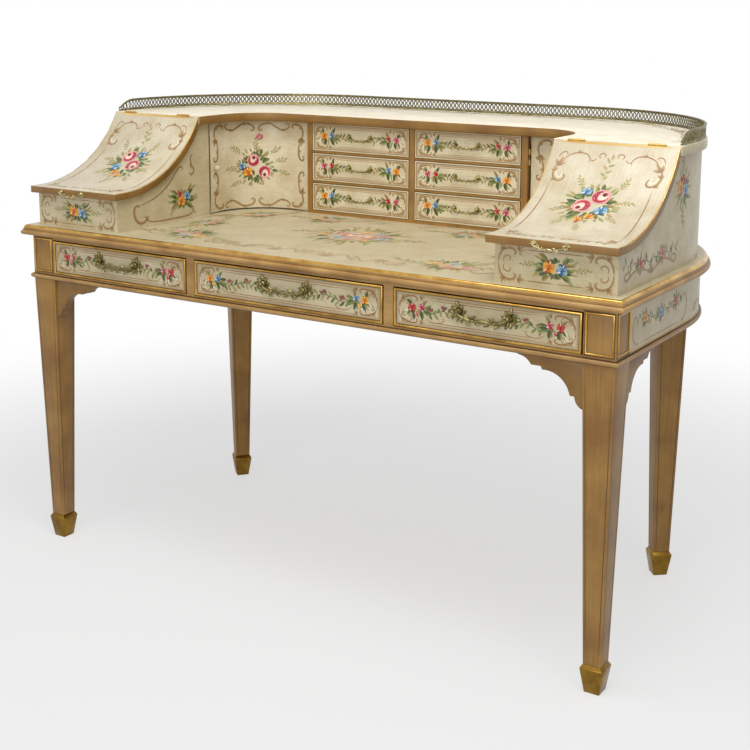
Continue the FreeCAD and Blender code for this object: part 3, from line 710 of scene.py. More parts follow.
def swag(place, spacing, scale, reach, drop):
    """The bail: a rod that swells and thins along a dipped line, with cast leaves where it turns."""
    bm = bmesh.new()
    line = []
    for number in range(bail_stations + 1):
        share = number / bail_stations
        dip = math.sin(math.pi * share) ** 0.45 - 0.22 * math.exp(-((share - 0.5) / 0.09) ** 2)
        line.append((spacing * (share - 0.5), -drop * dip))
    rings = []
    for number, (u, v) in enumerate(line):
        ahead, behind = line[min(number + 1, bail_stations)], line[max(number - 1, 0)]
        along = (place(*ahead, reach) - place(*behind, reach)).normalized()
        radius = (bail_thin + bail_swell * math.sin(3 * math.pi * (number / bail_stations)) ** 2) * scale * MM
        turn = Matrix.Translation(place(u, v, reach)) @ along.to_track_quat("Z", "Y").to_matrix().to_4x4()
        ends = number in (0, bail_stations)
        ring = bmesh.ops.create_circle(bm, segments=8, radius=radius, matrix=turn, cap_ends=ends)["verts"]
        rings.append(list({edge for vert in ring for edge in vert.link_edges}))
    for one, other in zip(rings, rings[1:]):
        bmesh.ops.bridge_loops(bm, edges=one + other)
    for hand in (-1, 1):
        for share, heading, length in bail_leaves:
            u = -hand * spacing * (0.5 - share)
            v = -drop * math.sin(math.pi * share) ** 0.45
            cast_leaf(bm, lambda x, z, d: place(x, z, reach - scale + d), u, v, mirrored(heading, hand),
                      length * scale, bail_leaf_width * scale, bail_leaf_thick * scale)
    bmesh.ops.recalc_face_normals(bm, faces=bm.faces)
    return bm


def front_place(x, y, z):
    """Places on a face that looks to the front, measured from the middle of a pull and out from the face."""
    return lambda u, v, out: Vector((x + u, y - out, z + v)) * MM


pull_reach = 10
frieze_pull = (108, 1.2, 14)
frieze_pivot = 9
small_pull = (60, 0.6, 8)
small_pivot = 4
lid_pull = (62, 0.5, 8)
lid_middle, lid_lip, lid_pivot_z = 596.5, -392, 853.3
pulls = []
for node, (x0, x1) in frieze_drawers.items():
    pulls.append((node, (x0 + x1) / 2, front_y, frieze_middle + frieze_pivot, frieze_pull, olive_brass))
for node, (x0, x1, z0, z1) in small_drawers.items():
    pulls.append((node, (x0 + x1) / 2, small_face, (z0 + z1) / 2 + small_pivot, small_pull, small_brass))
for side, hand in sides:
    pulls.append((side + "_lid", hand * lid_middle, lid_lip, lid_pivot_z, lid_pull, bright_brass))
for node, x, y, z, (spacing, scale, drop), finish in pulls:
    place = front_place(x, y, z)
    pair = rosettes(place, spacing, scale, pull_reach)
    add_piece(node + "_rosettes", pair, node, [finish], [node + "_pull"], 60)
    bail = swag(place, spacing, scale, pull_reach, drop)
    add_piece(node + "_swag", bail, node + "_bail", [finish], [node + "_bail"], 60)

# Brushwork
# Flowers, leaves and rococo scrolls are brushed freehand in artist's oils over the dry cream ground.
# Each stroke is a thin skin of paint: it swells, thins out at its ends and carries two colours of one brush.

first_lift = 0.1
each_lift = 0.016
stroke_relief = 0.003
hair_width = 8
scroll_browns = ("#7E5E36", "#BA9C6C")
fine_browns = ("#86592F", "#A9804F")
line_browns = ("#A06A45", "#8A5C36")
# Near-black lines of painted shade in the gaps round the doors.
gap_shade_browns = ("#2E2210", "#3A2B15")
pale_touch = ("#EAE0C6", "#DACDAA")
leaf_greens = (("#32441C", "#7E8A44"), ("#6A7032", "#A8A660"), ("#263818", "#5C6C36"), ("#50602A", "#98A058"),
               ("#7A6432", "#B09A5E"))
dark_greens = (leaf_greens[2], leaf_greens[0])
pale_greens = (("#8C884C", "#BAB27C"), ("#78824A", "#AEB078"), ("#A08452", "#C4AF80"))
rose_petals = ("#C65468", "#E9AFA8")
rose_cup = ("#F3DCC8", "#E9BDAC")
rose_stroke = ("#8A1029", "#BE2B45")
rose_heart = ("#52081A", "#7E1029")
orange_paints = ("#F2BE3C", "#E07A18", "#8E300A", "#F8E09A")
blue_paints = ("#A9C8D6", "#4A80AC", "#183E66", "#EEF3F0")
pink_paints = ("#E3949A", "#B82F4E", "#6E0E28", "#F8E2DA")
red_paints = ("#DC5A4A", "#B51C28", "#5E0A14", "#F6D2C4")
magenta_paints = ("#B65C6A", "#721A30")
gold_paints = ("#B98A3A", "#E4C478")


def oil_colours(name):
    """Artist's oils: colour carried by each stroke, slightly streaked, with the low gloss of old varnish."""
    made, tree, shader, place = new_finish(name)
    laid = add(tree, "Attribute", {"attribute_name": "paint"})
    hairs = add(tree, "TexNoise", {"Scale": 1 / (1.6 * MM), "Detail": 3}, {"Vector": place})
    thin = add(tree, "ValToRGB", {"stops": [(0.3, "#CFC6B4"), (0.6, "#FFFFFF")]}, {"Fac": hairs})
    streaked = add(tree, "Mix", {"data_type": "RGBA", "blend_type": "MULTIPLY", 0: 0.5},
                   {6: laid.outputs["Color"], 7: thin})
    coat(tree, shader, streaked.outputs[2], hairs, (0.34, 0.5), (hairs, 0.2, 0.1))
    return made


oils = oil_colours("artists_oil_colours")
cream_ground = linear("#D6C9A8")
sway = random.Random(5)


def canvas(place, turned=False, thin=0.0):
    """A sheet of strokes on one surface. place turns (across, up, out) into a point; turned marks a mirror
    image; thin is how much of the ground shows through the paint."""
    bm = bmesh.new()
    bm.verts.layers.float_color.new("paint")
    return {"bm": bm, "place": place, "laid": [], "turned": turned, "thin": thin}


def hang(sheet, name, body):
    """Closes a sheet of strokes and lets it ride with the piece it is painted on."""
    if sheet["turned"]:
        bmesh.ops.reverse_faces(sheet["bm"], faces=sheet["bm"].faces)
    add_piece(name, sheet["bm"], body, [oils], (), 180)


def moved(u, v, heading, reach):
    """The place that lies a reach away along a heading."""
    turn = math.radians(heading)
    return u + reach * math.cos(turn), v + reach * math.sin(turn)


def line_from(u, v, heading, length, turn=0, steps=4):
    """Points of a line that starts at a heading and turns evenly as it runs."""
    points = [(u, v)]
    for number in range(steps):
        points.append(moved(*points[-1], heading + turn * ((number + 0.5) / steps), length / steps))
    return points


def meet(one, other):
    """Whether two boxes overlap, each given as its low corner and then its high corner."""
    return one[0] < other[2] and other[0] < one[2] and one[1] < other[3] and other[1] < one[3]


def stroke(sheet, line, width, tints, across=False, belly=0.5, blunt=0.75):
    """One brush stroke along a line, laid over those under it: widest at its belly,
    and of two tints along it or across it."""
    bm, place = sheet["bm"], sheet["place"]
    paint = bm.verts.layers.float_color["paint"]
    spans = [(min(a[0], b[0]) - width / 2, min(a[1], b[1]) - width / 2, max(a[0], b[0]) + width / 2,
              max(a[1], b[1]) + width / 2) for a, b in zip(line, line[1:])]
    whole = [pick(span[at] for span in spans) for at, pick in enumerate((min, min, max, max))]
    under = [level for box, parts, level in sheet["laid"]
             if meet(box, whole) and any(meet(part, span) for part in parts for span in spans)]
    layer = 1 + max(under, default=0)
    sheet["laid"].append((whole, spans, layer))
    lift = first_lift + each_lift * layer
    first, second = [[one + (ground - one) * sheet["thin"] for one, ground in zip(linear(tint), cream_ground)]
                     for tint in tints[:2]]
    last = len(line) - 1
    power = math.log(0.5) / math.log(belly)
    cells = 2 * math.ceil(width / hair_width)
    for vert in bmesh.ops.create_grid(bm, x_segments=last, y_segments=cells, size=1)["verts"]:
        share, side = (vert.co.x + 1) / 2, vert.co.y
        at = round(share * last)
        ahead, behind = line[min(at + 1, last)], line[max(at - 1, 0)]
        run = math.hypot(ahead[0] - behind[0], ahead[1] - behind[1])
        half = width / 2 * max(math.sin(math.pi * share ** power), 0.0) ** blunt * side
        u = line[at][0] - (ahead[1] - behind[1]) / run * half
        v = line[at][1] + (ahead[0] - behind[0]) / run * half
        vert.co = place(u, v, lift + stroke_relief * (1 - side * side))
        mix = (side + 1) / 2 if across else share
        vert[paint] = [one + (other - one) * mix for one, other in zip(first, second)]


def petal(sheet, u, v, heading, length, width, tints, belly=0.62, bend=0):
    stroke(sheet, line_from(u, v, heading, length, bend), width, tints, False, belly, 0.6)


def dab(sheet, u, v, radius, tints):
    stroke(sheet, line_from(u - radius, v, 0, 2 * radius, 0, 6), 2 * radius, tints, True, 0.5, 0.5)


def leaf(sheet, u, v, heading, length, width, greens=leaf_greens):
    """A leaf in two greens side by side, with a dark vein; the greens change from leaf to leaf."""
    tints = greens[len(sheet["laid"]) % len(greens)]
    bend = sway.uniform(-35, 35)
    stroke(sheet, line_from(u, v, heading, length, bend), width, tints, True, 0.42)
    stroke(sheet, line_from(u, v, heading, length * 0.8, bend), width * 0.14, (tints[0], tints[0]))


def leaves(sheet, u, v, headings, length, width, start=0.0, greens=leaf_greens):
    """Leaves that spring from a ring round one place, laid in three rounds so that few lie on each other."""
    for heading in [heading for first in range(3) for heading in headings[first::3]]:
        towards = heading + sway.uniform(-9, 9)
        leaf(sheet, *moved(u, v, towards, start), towards, length * sway.uniform(0.75, 1.2), width, greens)


def sprig(sheet, u, v, heading, length, turn, size):
    """A thin stem with small leaves on both sides and one at its tip."""
    line = line_from(u, v, heading, length, turn, 8)
    stroke(sheet, line, 1.2, pale_greens[0])
    for number in range(2, 9):
        at, before = line[number], line[number - 1]
        along = math.degrees(math.atan2(at[1] - before[1], at[0] - before[0]))
        spread = 0 if number == 8 else (48 if number % 2 else -48)
        leaf(sheet, *at, along + spread, size * sway.uniform(0.8, 1.1), size * 0.42, pale_greens)


def rose(sheet, u, v, radius, turn=0):
    """A cupped rose: soft pink outer petals, a pale cup, a crimson stroke round it and a dark heart."""
    for number in range(7):
        heading = turn + number * 51
        start = moved(u, v, heading, 0.4 * radius)
        petal(sheet, *start, heading, radius * 0.62, radius * 0.8, rose_petals, 0.6)
    dab(sheet, u, v, radius * 0.74, rose_cup)
    for start, round_turn, reach, width in ((70, 285, 0.66, 0.42), (100, 130, 0.4, 0.14)):
        ring = [moved(u, v, turn + start + round_turn * n / 12, reach * radius) for n in range(13)]
        stroke(sheet, ring, radius * width, rose_stroke, False, 0.45, 0.55)
    dab(sheet, *moved(u, v, turn + 40, 0.4 * radius), radius * 0.27, rose_heart)


def daisy(sheet, u, v, radius, paints, petals=6, turn=20):
    """An open flower of full strokes in three mixes by turns, with a dark touch beside each petal."""
    root, tip, dark, light = paints
    for number in range(petals):
        heading = turn + number * 360 / petals + sway.uniform(-12, 12)
        reach = radius * sway.uniform(0.84, 1.14)
        mixed = ((root, tip), (tip, dark), (tip, root))[number % 3]
        petal(sheet, u, v, heading, reach, radius * 0.78, mixed, 0.66)
        petal(sheet, u, v, heading + 22, reach * 0.7, radius * 0.24, (dark, tip), 0.45)
    for heading in (turn + 60, turn + 200):
        start = moved(u, v, heading, 0.35 * radius)
        petal(sheet, *start, heading - 14, radius * 0.6, radius * 0.22, (light, light), 0.5)
    dab(sheet, u, v, radius * 0.26, (dark, tip))


def bud(sheet, u, v, heading, size, tints=magenta_paints):
    for spread in (-32, 32, 0):
        petal(sheet, u, v, heading + spread, size * (1.0 if spread else 1.15), size * 0.6, tints, 0.6)
    for spread in (-50, 50):
        leaf(sheet, u, v, heading + spread, size * 0.7, size * 0.26)


def ribbon(sheet, points, width, tints=scroll_browns, flip=(1, 1)):
    """A scroll drawn smoothly through a few points; flip draws it in another quarter of the panel."""
    knots = [(u * flip[0], v * flip[1]) for u, v in points]
    last = len(knots) - 1
    line = []
    for number in range(last):
        a, b, c, d = (knots[min(max(number + shift, 0), last)] for shift in (-1, 0, 1, 2))
        for t in (0, 0.25, 0.5, 0.75):
            line.append(tuple(0.5 * (2 * q + (r - p) * t + (2 * p - 5 * q + 4 * r - s) * t * t
                                     + (3 * q - p - 3 * r + s) * t ** 3) for p, q, r, s in zip(a, b, c, d)))
    line.append(knots[-1])
    stroke(sheet, line, width, tints if flip[0] * flip[1] > 0 else tints[::-1], True, 0.45, 0.45)


def acanthus(sheet, u, v, heading, size, flip=(1, 1)):
    """Three leafy flicks where one scroll breaks into the next."""
    for spread, share in ((-42, 0.75), (42, 0.75), (0, 1.0)):
        angle = mirrored(heading + spread, flip[0]) * flip[1]
        petal(sheet, u * flip[0], v * flip[1], angle, size * share, size * 0.3, scroll_browns, 0.4, 25)


def scrollwork(sheet, marks, flip=(1, 1)):
    """A run of scrolls and leafy flicks. A mark that opens with points is a scroll: points, width and tints.
    Any other is an acanthus: its place, heading and size."""
    for mark in marks:
        draw = ribbon if isinstance(mark[0], tuple) else acanthus
        draw(sheet, *mark, flip=flip)


def bouquet(sheet, sprigs, beds, dark_leaves, dark_size, daisies, roses):
    """Sprigs, then beds of leaves, dark leaves over them, small flowers, and the roses on top."""
    for u, v, heading, turn in sprigs:
        sprig(sheet, u, v, heading, 30, turn, 10)
    for bed in beds:
        leaves(sheet, *bed)
    for u, v, heading in dark_leaves:
        leaf(sheet, u, v, heading, *dark_size, dark_greens)
    for flower in daisies:
        daisy(sheet, *flower)
    for flower in roses:
        rose(sheet, *flower)


def rule(sheet, u, v, heading, length, width=1.3, tints=line_browns):
    stroke(sheet, line_from(u, v, heading, length, 0, 6), width, tints, False, 0.5, 0.15)


corners = ((1, 1), (1, -1), (-1, 1), (-1, -1))

# Flowers on the frieze drawers
# Each end has fine brown scrolls, small flowers and a fan of leaves; a vine with buds runs in to the pull.
# Double rules follow the top and the bottom.


def long_panel(sheet, w, h, k, browns, weight=1.0):
    """Scrolled ends and double rules of a long drawer front of half width w and half height h.
    k scales the scrolls, weight thickens them. Most points are counted in from the corner."""

    def inward(*points):
        return [(w - a * k, h - b * k) for a, b in points]

    end_scroll = inward((40, 13), (45, 8), (38, 3), (25, 4), (12, 10), (4, 20)) + [(w - 3 * k, 0)]
    end_curl = [(w - a * k, b * k) for a, b in ((6, 2), (7, 12), (15, 18), (23, 14), (19, 8))]
    hook = inward((26, 4), (32, 12), (27, 17), (22, 12))
    corner_curl = inward((30, 2), (18, 3), (8, 9), (10, 17), (16, 15), (13, 11))
    for flip in corners:
        ribbon(sheet, end_scroll, 3.2 * weight * k, browns, flip)
        acanthus(sheet, w - 14 * k, h - 8 * k, 50, 10 * k, flip)
        acanthus(sheet, w - 50 * k, h - 6 * k, 165, 12 * k, flip)
        ribbon(sheet, end_curl, 2.6 * weight * k, scroll_browns if flip[1] > 0 else pale_touch, flip)
        ribbon(sheet, hook, 1.8 * weight * k, browns, flip)
        ribbon(sheet, corner_curl, 2.4 * weight * k, scroll_browns, flip)
    for level in (-1, 1):
        for inset, reach in ((3, 50), (7.5, 58)):
            start = w - reach * k
            rule(sheet, -start, level * (h - inset * k), 0, 2 * start, 1.6 * k, browns)


def vine(sheet, hand, outer, inner, size):
    """A wavy stem with leaves on both sides, from a cluster of flowers in to the pull."""
    count = round(2.4 * (outer - inner) / size)
    line = [(hand * (outer + (inner - outer) * n / count), -size / 3 * math.sin(7 * n / count) - 1)
            for n in range(count + 1)]
    stroke(sheet, line, size * 0.12, leaf_greens[2])
    for number in range(1, count + 1):
        heading = (180 if hand > 0 else 0) - hand * (50 if number % 2 else -50)
        greens = leaf_greens if number % 3 else pale_greens
        leaf(sheet, *line[number], heading, size * sway.uniform(0.8, 1.3), size * 0.4, greens)
    return line


def end_flowers(sheet, hand, outer_at, inner_at, size, outer, inner):
    """Two flowers near the end of a panel, over leaves that hang and lean to the middle."""
    middle = (outer_at + inner_at) / 2
    spread = (outer_at - inner_at) / 2 + size
    for number in sorted(range(13), key=lambda n: n % 3):
        share = number / 12
        at = middle + spread * (0.9 - 1.8 * share)
        paints = (pale_touch,) if number % 4 == 1 else (pale_greens if number % 3 == 0 else leaf_greens)
        leaf(sheet, hand * at, 3 * math.sin(number), mirrored(-30 - 150 * share, hand),
             size * sway.uniform(1.5, 2.2), size * 0.52, paints)
    for at, up, heading in ((inner_at - size * 0.6, 4, 165), (inner_at - size * 0.4, 0, 190),
                            (outer_at, 6, 60), (inner_at, 8, 120)):
        leaf(sheet, hand * at, up, mirrored(heading, hand), size * 1.9, size * 0.7)
    for at, heading in ((inner_at, -97), (outer_at - size * 0.5, -80)):
        leaf(sheet, hand * at, -1, mirrored(heading, hand), size * 1.9, size * 0.85, (leaf_greens[2],))
    daisy(sheet, hand * inner_at, 6, size * 0.84, inner, 5)
    daisy(sheet, hand * outer_at, 4, size, outer, 6, 35)


frieze_margin = 10
vine_scroll = ((62, 16), (80, 8), (98, 10), (104, 17), (98, 18))
for node, (x0, x1) in frieze_drawers.items():
    sheet = canvas(front_place((x0 + x1) / 2, front_y, frieze_middle))
    w, h = (x1 - x0) / 2 - frieze_margin, (frieze_high - frieze_low) / 2 - frieze_margin
    long_panel(sheet, w, h, 1.0, fine_browns)
    outer, inner = (orange_paints, blue_paints) if "centre" in node else (red_paints, pink_paints)
    for hand in (-1, 1):
        stem = vine(sheet, hand, w - 58, 66, 14)
        for share, up, tilt in ((0.3, 4, 18), (0.68, 2, -25)):
            u, v = stem[round(share * (len(stem) - 1))]
            bud(sheet, u, v + up, 90 - hand * tilt, 9)
        ribbon(sheet, [(w - a, b - h) for a, b in vine_scroll], 1.6, fine_browns, (hand, 1))
        end_flowers(sheet, hand, w - 33, w - 54, 10, outer, inner)
        daisy(sheet, hand * (w - 44), -8, 5.5, (outer[3], outer[0], outer[2], outer[3]), 5)
    hang(sheet, node + "_flowers", node)

# Flowers on the small drawers
# The same scheme made small. Orange and blue stand at one end and red at the other,
# and change ends in the middle row.

small_margin = 6
small_browns = ("#9A784A", "#BE9F6E")
for node, (x0, x1, z0, z1) in small_drawers.items():
    sheet = canvas(front_place((x0 + x1) / 2, small_face, (z0 + z1) / 2))
    w, h = (x1 - x0) / 2 - small_margin, (z1 - z0) / 2 - small_margin
    long_panel(sheet, w, h, 0.86, small_browns, 1.5)
    for hand in (-1, 1):
        warm = (hand < 0) != ("middle" in node)
        outer, inner = (orange_paints, blue_paints) if warm else (pink_paints, red_paints)
        stem = vine(sheet, hand, w - 52, 40, 11)
        bud(sheet, *stem[len(stem) // 2], 90 + hand * 20, 6)
        end_flowers(sheet, hand, w - 29, w - 51, 10.5 if warm else 9.5, outer, inner)
    hang(sheet, node + "_flowers", node)

# Flowers on the lids
# A spray of two roses with blue and orange flowers in the hollow of each lid, inside a drawn border
# with C-scrolls at its upper corners and a leafy line along the lip. The hinge edge is lined with gold.

lid_flat, lid_top = -360, 861.3
lid_centre, lid_radius = 1156.37, 295.07
lid_half_run = 174
lid_scrolls = (
    (((91, 96), (86, 88), (90, 79), (100, 79), (109, 88), (112, 104), (106, 119), (95, 128)), 5.4),
    (((94, 99), (92, 92), (97, 86), (104, 92), (106, 104)), 3, pale_touch),
    (108, 114, 118, 24), (110, 100, 80, 14), (104, 82, -40, 12), (72, 146, 150, 10),
    (((100, 126), (90, 139), (72, 146), (54, 144), (44, 134), (45, 124)), 2.8, fine_browns),
    (((112, 132), (106, 144), (96, 146), (94, 140)), 2.4, fine_browns),
    (((22, 136), (26, 143), (20, 148), (13, 144), (15, 138)), 2.6, fine_browns),
    (((44, 132), (36, 130), (30, 136)), 2.2, fine_browns),
    (((112, -110), (108, -122), (98, -126), (94, -118), (100, -114)), 4),
    (106, -122, -130, 26),
)
lid_bouquet = (
    ((-34, 62, 132, -20), (34, 62, 48, 20), (46, 30, 8, -20), (-44, 2, 184, 20), (-30, -34, 214, 20),
     (36, -14, -24, -20), (0, -46, -100, 30)),
    ((-4, 14, range(6, 366, 17), 20, 8, 46, pale_greens), (-4, 16, range(0, 360, 13), 22, 10, 30),
     (-4, 18, range(4, 364, 24), 18, 10, 24, dark_greens)),
    ((-22, 50, 130), (28, 30, 15), (-36, 20, 185), (10, 0, -60), (-22, -20, 230), (6, 58, 95)), (19, 10),
    ((-24, 54, 12, blue_paints), (24, 2, 15, blue_paints, 6, 50), (8, -20, 11, orange_paints),
     (-10, -34, 10, orange_paints, 6, 45)),
    ((10, 42, 21, 10), (-20, 12, 20, 190)),
)


def lid_place(hand):
    """The hollow of a lid: across from its middle line, and along the curve from the middle of its run."""
    def place(u, v, out):
        run = v + lid_half_run
        flat = lid_flat - lid_lip
        if run <= flat:
            return Vector((hand * (lid_middle + u), lid_lip + run, lid_top + out)) * MM
        turn = (run - flat) / lid_radius
        y = lid_flat + (lid_radius - out) * math.sin(turn)
        return Vector((hand * (lid_middle + u), y, lid_centre - (lid_radius - out) * math.cos(turn))) * MM
    return place


for side, hand in sides:
    sheet = canvas(lid_place(hand), hand < 0)
    for edge in (-1, 1):
        rule(sheet, edge * 130.5, -146, 90, 316, 1.8, gold_paints)
    rule(sheet, -131, 169, 0, 262, 5, gold_paints)
    for way in (1, -1):
        rule(sheet, way * 110, -112, 91 + way, 184, 2.2, fine_browns)
        scrollwork(sheet, lid_scrolls, (way, 1))
        for number in range(6):
            at = way * (8 + 17 * number)
            rise = -146 + 4 * math.sin(number * 2.1)
            turn = 60 if number % 2 else -60
            stroke(sheet, line_from(at, rise, 90 - way * 70, 20, turn), 2.2, scroll_browns, True)
            leaf(sheet, at, rise, 90 - way * (30 + 25 * (number % 2)), 13, 5, pale_greens)
            leaf(sheet, at, rise, -90 + way * 40, 10, 4)
            if number % 2:
                petal(sheet, at, rise, 90 + way * 40, 10, 5, red_paints[:2])
    sprig(sheet, -4, 72, 92, 62, -14, 15)
    bouquet(sheet, *lid_bouquet)
    hang(sheet, side + "_lid_flowers", side + "_lid")

# Flowers on the doors
# Two roses, orange and blue flowers and a bud above, inside a full frame of scrolls.
# Dark lines along the edges are painted shade in the gap between the door and its case.

door_face, door_arc_x, door_radius, door_middle = 125, 355, 125, 882
door_flat_run = door_arc_x - door_hinge_x
door_half_run = 148
door_scrolls = (
    (((15, 90), (12, 85), (6, 88), (8, 97), (20, 103), (36, 103), (50, 95), (64, 88), (79, 91), (87, 99),
      (81, 104), (77, 98)), 5.4),
    (((100, 92), (95, 96), (99, 102), (111, 103), (123, 97), (128, 84), (125, 70), (118, 60)), 6.4),
    (121, 70, -75, 22), (124, 62, 20, 12), (119, 92, 60, 13), (34, 102, 150, 11), (66, 89, -20, 10),
    (116, 40, -60, 10),
    (((119, 62), (115, 46), (115, 30), (119, 18), (127, 15), (130, 22), (124, 25)), 5.6),
)
door_bouquet = (
    ((2, 30, 94, -10), (36, 26, 44, -20), (-34, 22, 128, 20), (46, -8, 8, -20), (-50, -18, 176, 20),
     (-44, 4, 150, 20), (36, -34, -40, 20)),
    ((4, -6, range(5, 365, 17), 15, 6, 38, pale_greens), (4, -6, range(0, 360, 14), 17, 8, 25),
     (4, -6, range(4, 364, 26), 14, 8, 20, dark_greens)),
    ((4, -30, -95), (26, -6, 20), (-10, 24, 110), (-38, -14, 190), (12, -12, 250)), (17, 9),
    ((37, -2, 10, blue_paints), (21, -18, 13, orange_paints)),
    ((8, 11, 16.5, 60), (-20, -19, 16.5, 230)),
)


def door_place(hand):
    """The bow of a door: across from the middle of its run, away from the hinge, and up from its middle."""
    def place(u, v, out):
        run = u + door_half_run
        z = door_middle + v
        turn = (run - door_flat_run) / door_radius
        if turn <= 0:
            x, y = door_hinge_x + run, door_face - out
        elif turn <= math.pi / 2:
            x = door_arc_x + (door_radius - out) * math.sin(turn)
            y = (door_radius - out) * math.cos(turn)
        else:
            x, y = door_arc_x + door_radius - out, -(turn - math.pi / 2) * door_radius
        return Vector((hand * x, y, z)) * MM
    return place


for side, hand in sides:
    sheet = canvas(door_place(hand), hand < 0)
    for flip in corners:
        scrollwork(sheet, door_scrolls, flip)
    bouquet(sheet, *door_bouquet)
    bud(sheet, -9, 62, 80, 15, pink_paints)
    for edge in (-145.5, 145):
        rule(sheet, edge, -109.5, 90, 219, 2.6, gap_shade_browns)
    rule(sheet, -146, -109.5, 0, 292, 2.2, gap_shade_browns)
    hang(sheet, side + "_door_flowers", side + "_door")

# Flowers on the wells
# The fronts have an orange and a blue flower in a cartouche. The inner sides have a small spray
# by the lid's curve and long scrolls that follow the edges of the board.

well_middle, well_face, well_middle_z = 599, -374, 807
well_scrolls = (
    (((84, 17), (79, 22), (84, 29), (96, 30), (108, 24), (114, 12), (115, 0)), 5.4),
    (((104, 2), (104, 10), (97, 15), (90, 11), (94, 6)), 3),
    (104, 26, 60, 14), (76, 28, 165, 15),
)
for side, hand in sides:
    sheet = canvas(front_place(hand * well_middle, well_face, well_middle_z))
    for flip in corners:
        scrollwork(sheet, well_scrolls, flip)
        rule(sheet, 0, flip[1] * 29, 90 - flip[0] * 90, 60, 1.6)
        ribbon(sheet, ((60, 29), (68, 26), (72, 20), (66, 18)), 2.6, flip=flip)
    for way in (0, 180):
        leaves(sheet, 0, 0, range(way - 40, way + 41, 10), 22, 7, 18)
        leaves(sheet, 0, -1, range(way - 30, way + 31, 15), 18, 5, 31, pale_greens)
        sprig(sheet, 34 if way == 0 else -34, 2, way - 8, 32, 14, 9)
    leaves(sheet, 0, -3, range(-125, -54, 14), 11, 6, 8)
    leaves(sheet, 0, 3, range(60, 121, 20), 8, 5, 9)
    leaves(sheet, 0, 0, range(0, 360, 40), 12, 7, 8, dark_greens)
    daisy(sheet, 15, -2, 12, blue_paints)
    daisy(sheet, -12, 1, 14, orange_paints)
    hang(sheet, side + "_well_flowers", "carcass")

well_inner, well_spray_y, well_spray_z = 476, -150, 815
well_side_scrolls = (
    (((-150, 2), (-156, 8), (-166, 4), (-168, -10), (-160, -26), (-146, -33), (-132, -30), (-128, -22),
      (-136, -20)), 7.5),
    (((-126, -30), (-100, -35), (-50, -36), (0, -36), (28, -33), (36, -24), (29, -20)), 4.6),
    (((-150, 8), (-120, 14), (-84, 26), (-48, 48), (-20, 76), (-6, 84), (2, 78), (-4, 72)), 4.6),
    (((38, 110), (30, 100), (34, 84), (42, 74), (38, 62), (28, 62), (29, 70)), 6.5),
    (-130, -28, 30, 16), (34, 86, -120, 14),
)


def side_place(x, y, z, hand):
    """A face that looks along X, the way of hand; across runs to the back."""
    return lambda u, v, out: Vector((x + hand * out, y + u, z + v)) * MM


for side, hand in sides:
    sheet = canvas(side_place(hand * well_inner, well_spray_y, well_spray_z, -hand), hand > 0)
    for way in (0, 180):
        leaves(sheet, 0, 6, range(way - 40, way + 41, 13), 27, 9, 20)
        leaves(sheet, 0, 4, range(way - 30, way + 31, 20), 24, 7, 36, pale_greens)
    leaves(sheet, 0, 6, range(20, 380, 26), 18, 8, 10)
    daisy(sheet, 15, 12, 13, blue_paints)
    daisy(sheet, -6, 2, 15, orange_paints)
    daisy(sheet, -12, 20, 9, red_paints)
    scrollwork(sheet, well_side_scrolls)
    hang(sheet, side + "_well_side_flowers", "carcass")

# Flowers on the sides and the back
# Garlands of leaves with red, orange and blue flowers run round the outside of the case and of the frieze.
# A gold line runs along the foot of the frieze boards, over the bead.


def garland(sheet, u, v, length, sag, size, flowers):
    """A swag of leaves from u along the surface, with flowers on it at given shares of its length."""
    steps = max(8, round(length / (size * 0.5)))
    line = [(u + length * n / steps, v - sag * math.sin(math.pi * n / steps) + 3 * math.sin(n * 1.1))
            for n in range(steps + 1)]
    stroke(sheet, line, 1.8, leaf_greens[2])
    for number in range(1, steps):
        heading = (58, -122, 122, -58)[number % 4]
        greens = leaf_greens if number % 3 else pale_greens
        leaf(sheet, *line[number], heading, size * sway.uniform(0.7, 1.2), size * 0.36, greens)
    for share, paints in flowers:
        at = line[round(share * steps)]
        leaves(sheet, *at, (30, 80, 130, 180, 230, 280, 330), size, size * 0.4, size * 0.3)
        daisy(sheet, at[0], at[1] + 2, size * 0.7, paints)


scroll_shape = ((0, 0), (0.2, 0.5), (0.45, 0.9), (0.7, 0.7), (0.92, 0.2), (1.0, 0.7), (0.86, 1.0), (0.8, 0.6))


def scroll_pair(sheet, u, v, length, rise, width):
    """Two S-scrolls that leave one place left and right and roll up at their ends."""
    for hand in (-1, 1):
        ribbon(sheet, [(u + hand * s * length, v + t * rise) for s, t in scroll_shape], width)
    acanthus(sheet, u, v, 90 if rise > 0 else -90, abs(rise) * 1.2)


def d_place(out, z):
    """The outside of the D: along it from the middle of the back, and up from a height."""
    return lambda u, v, lift: d_point(out + lift, u, z + v)


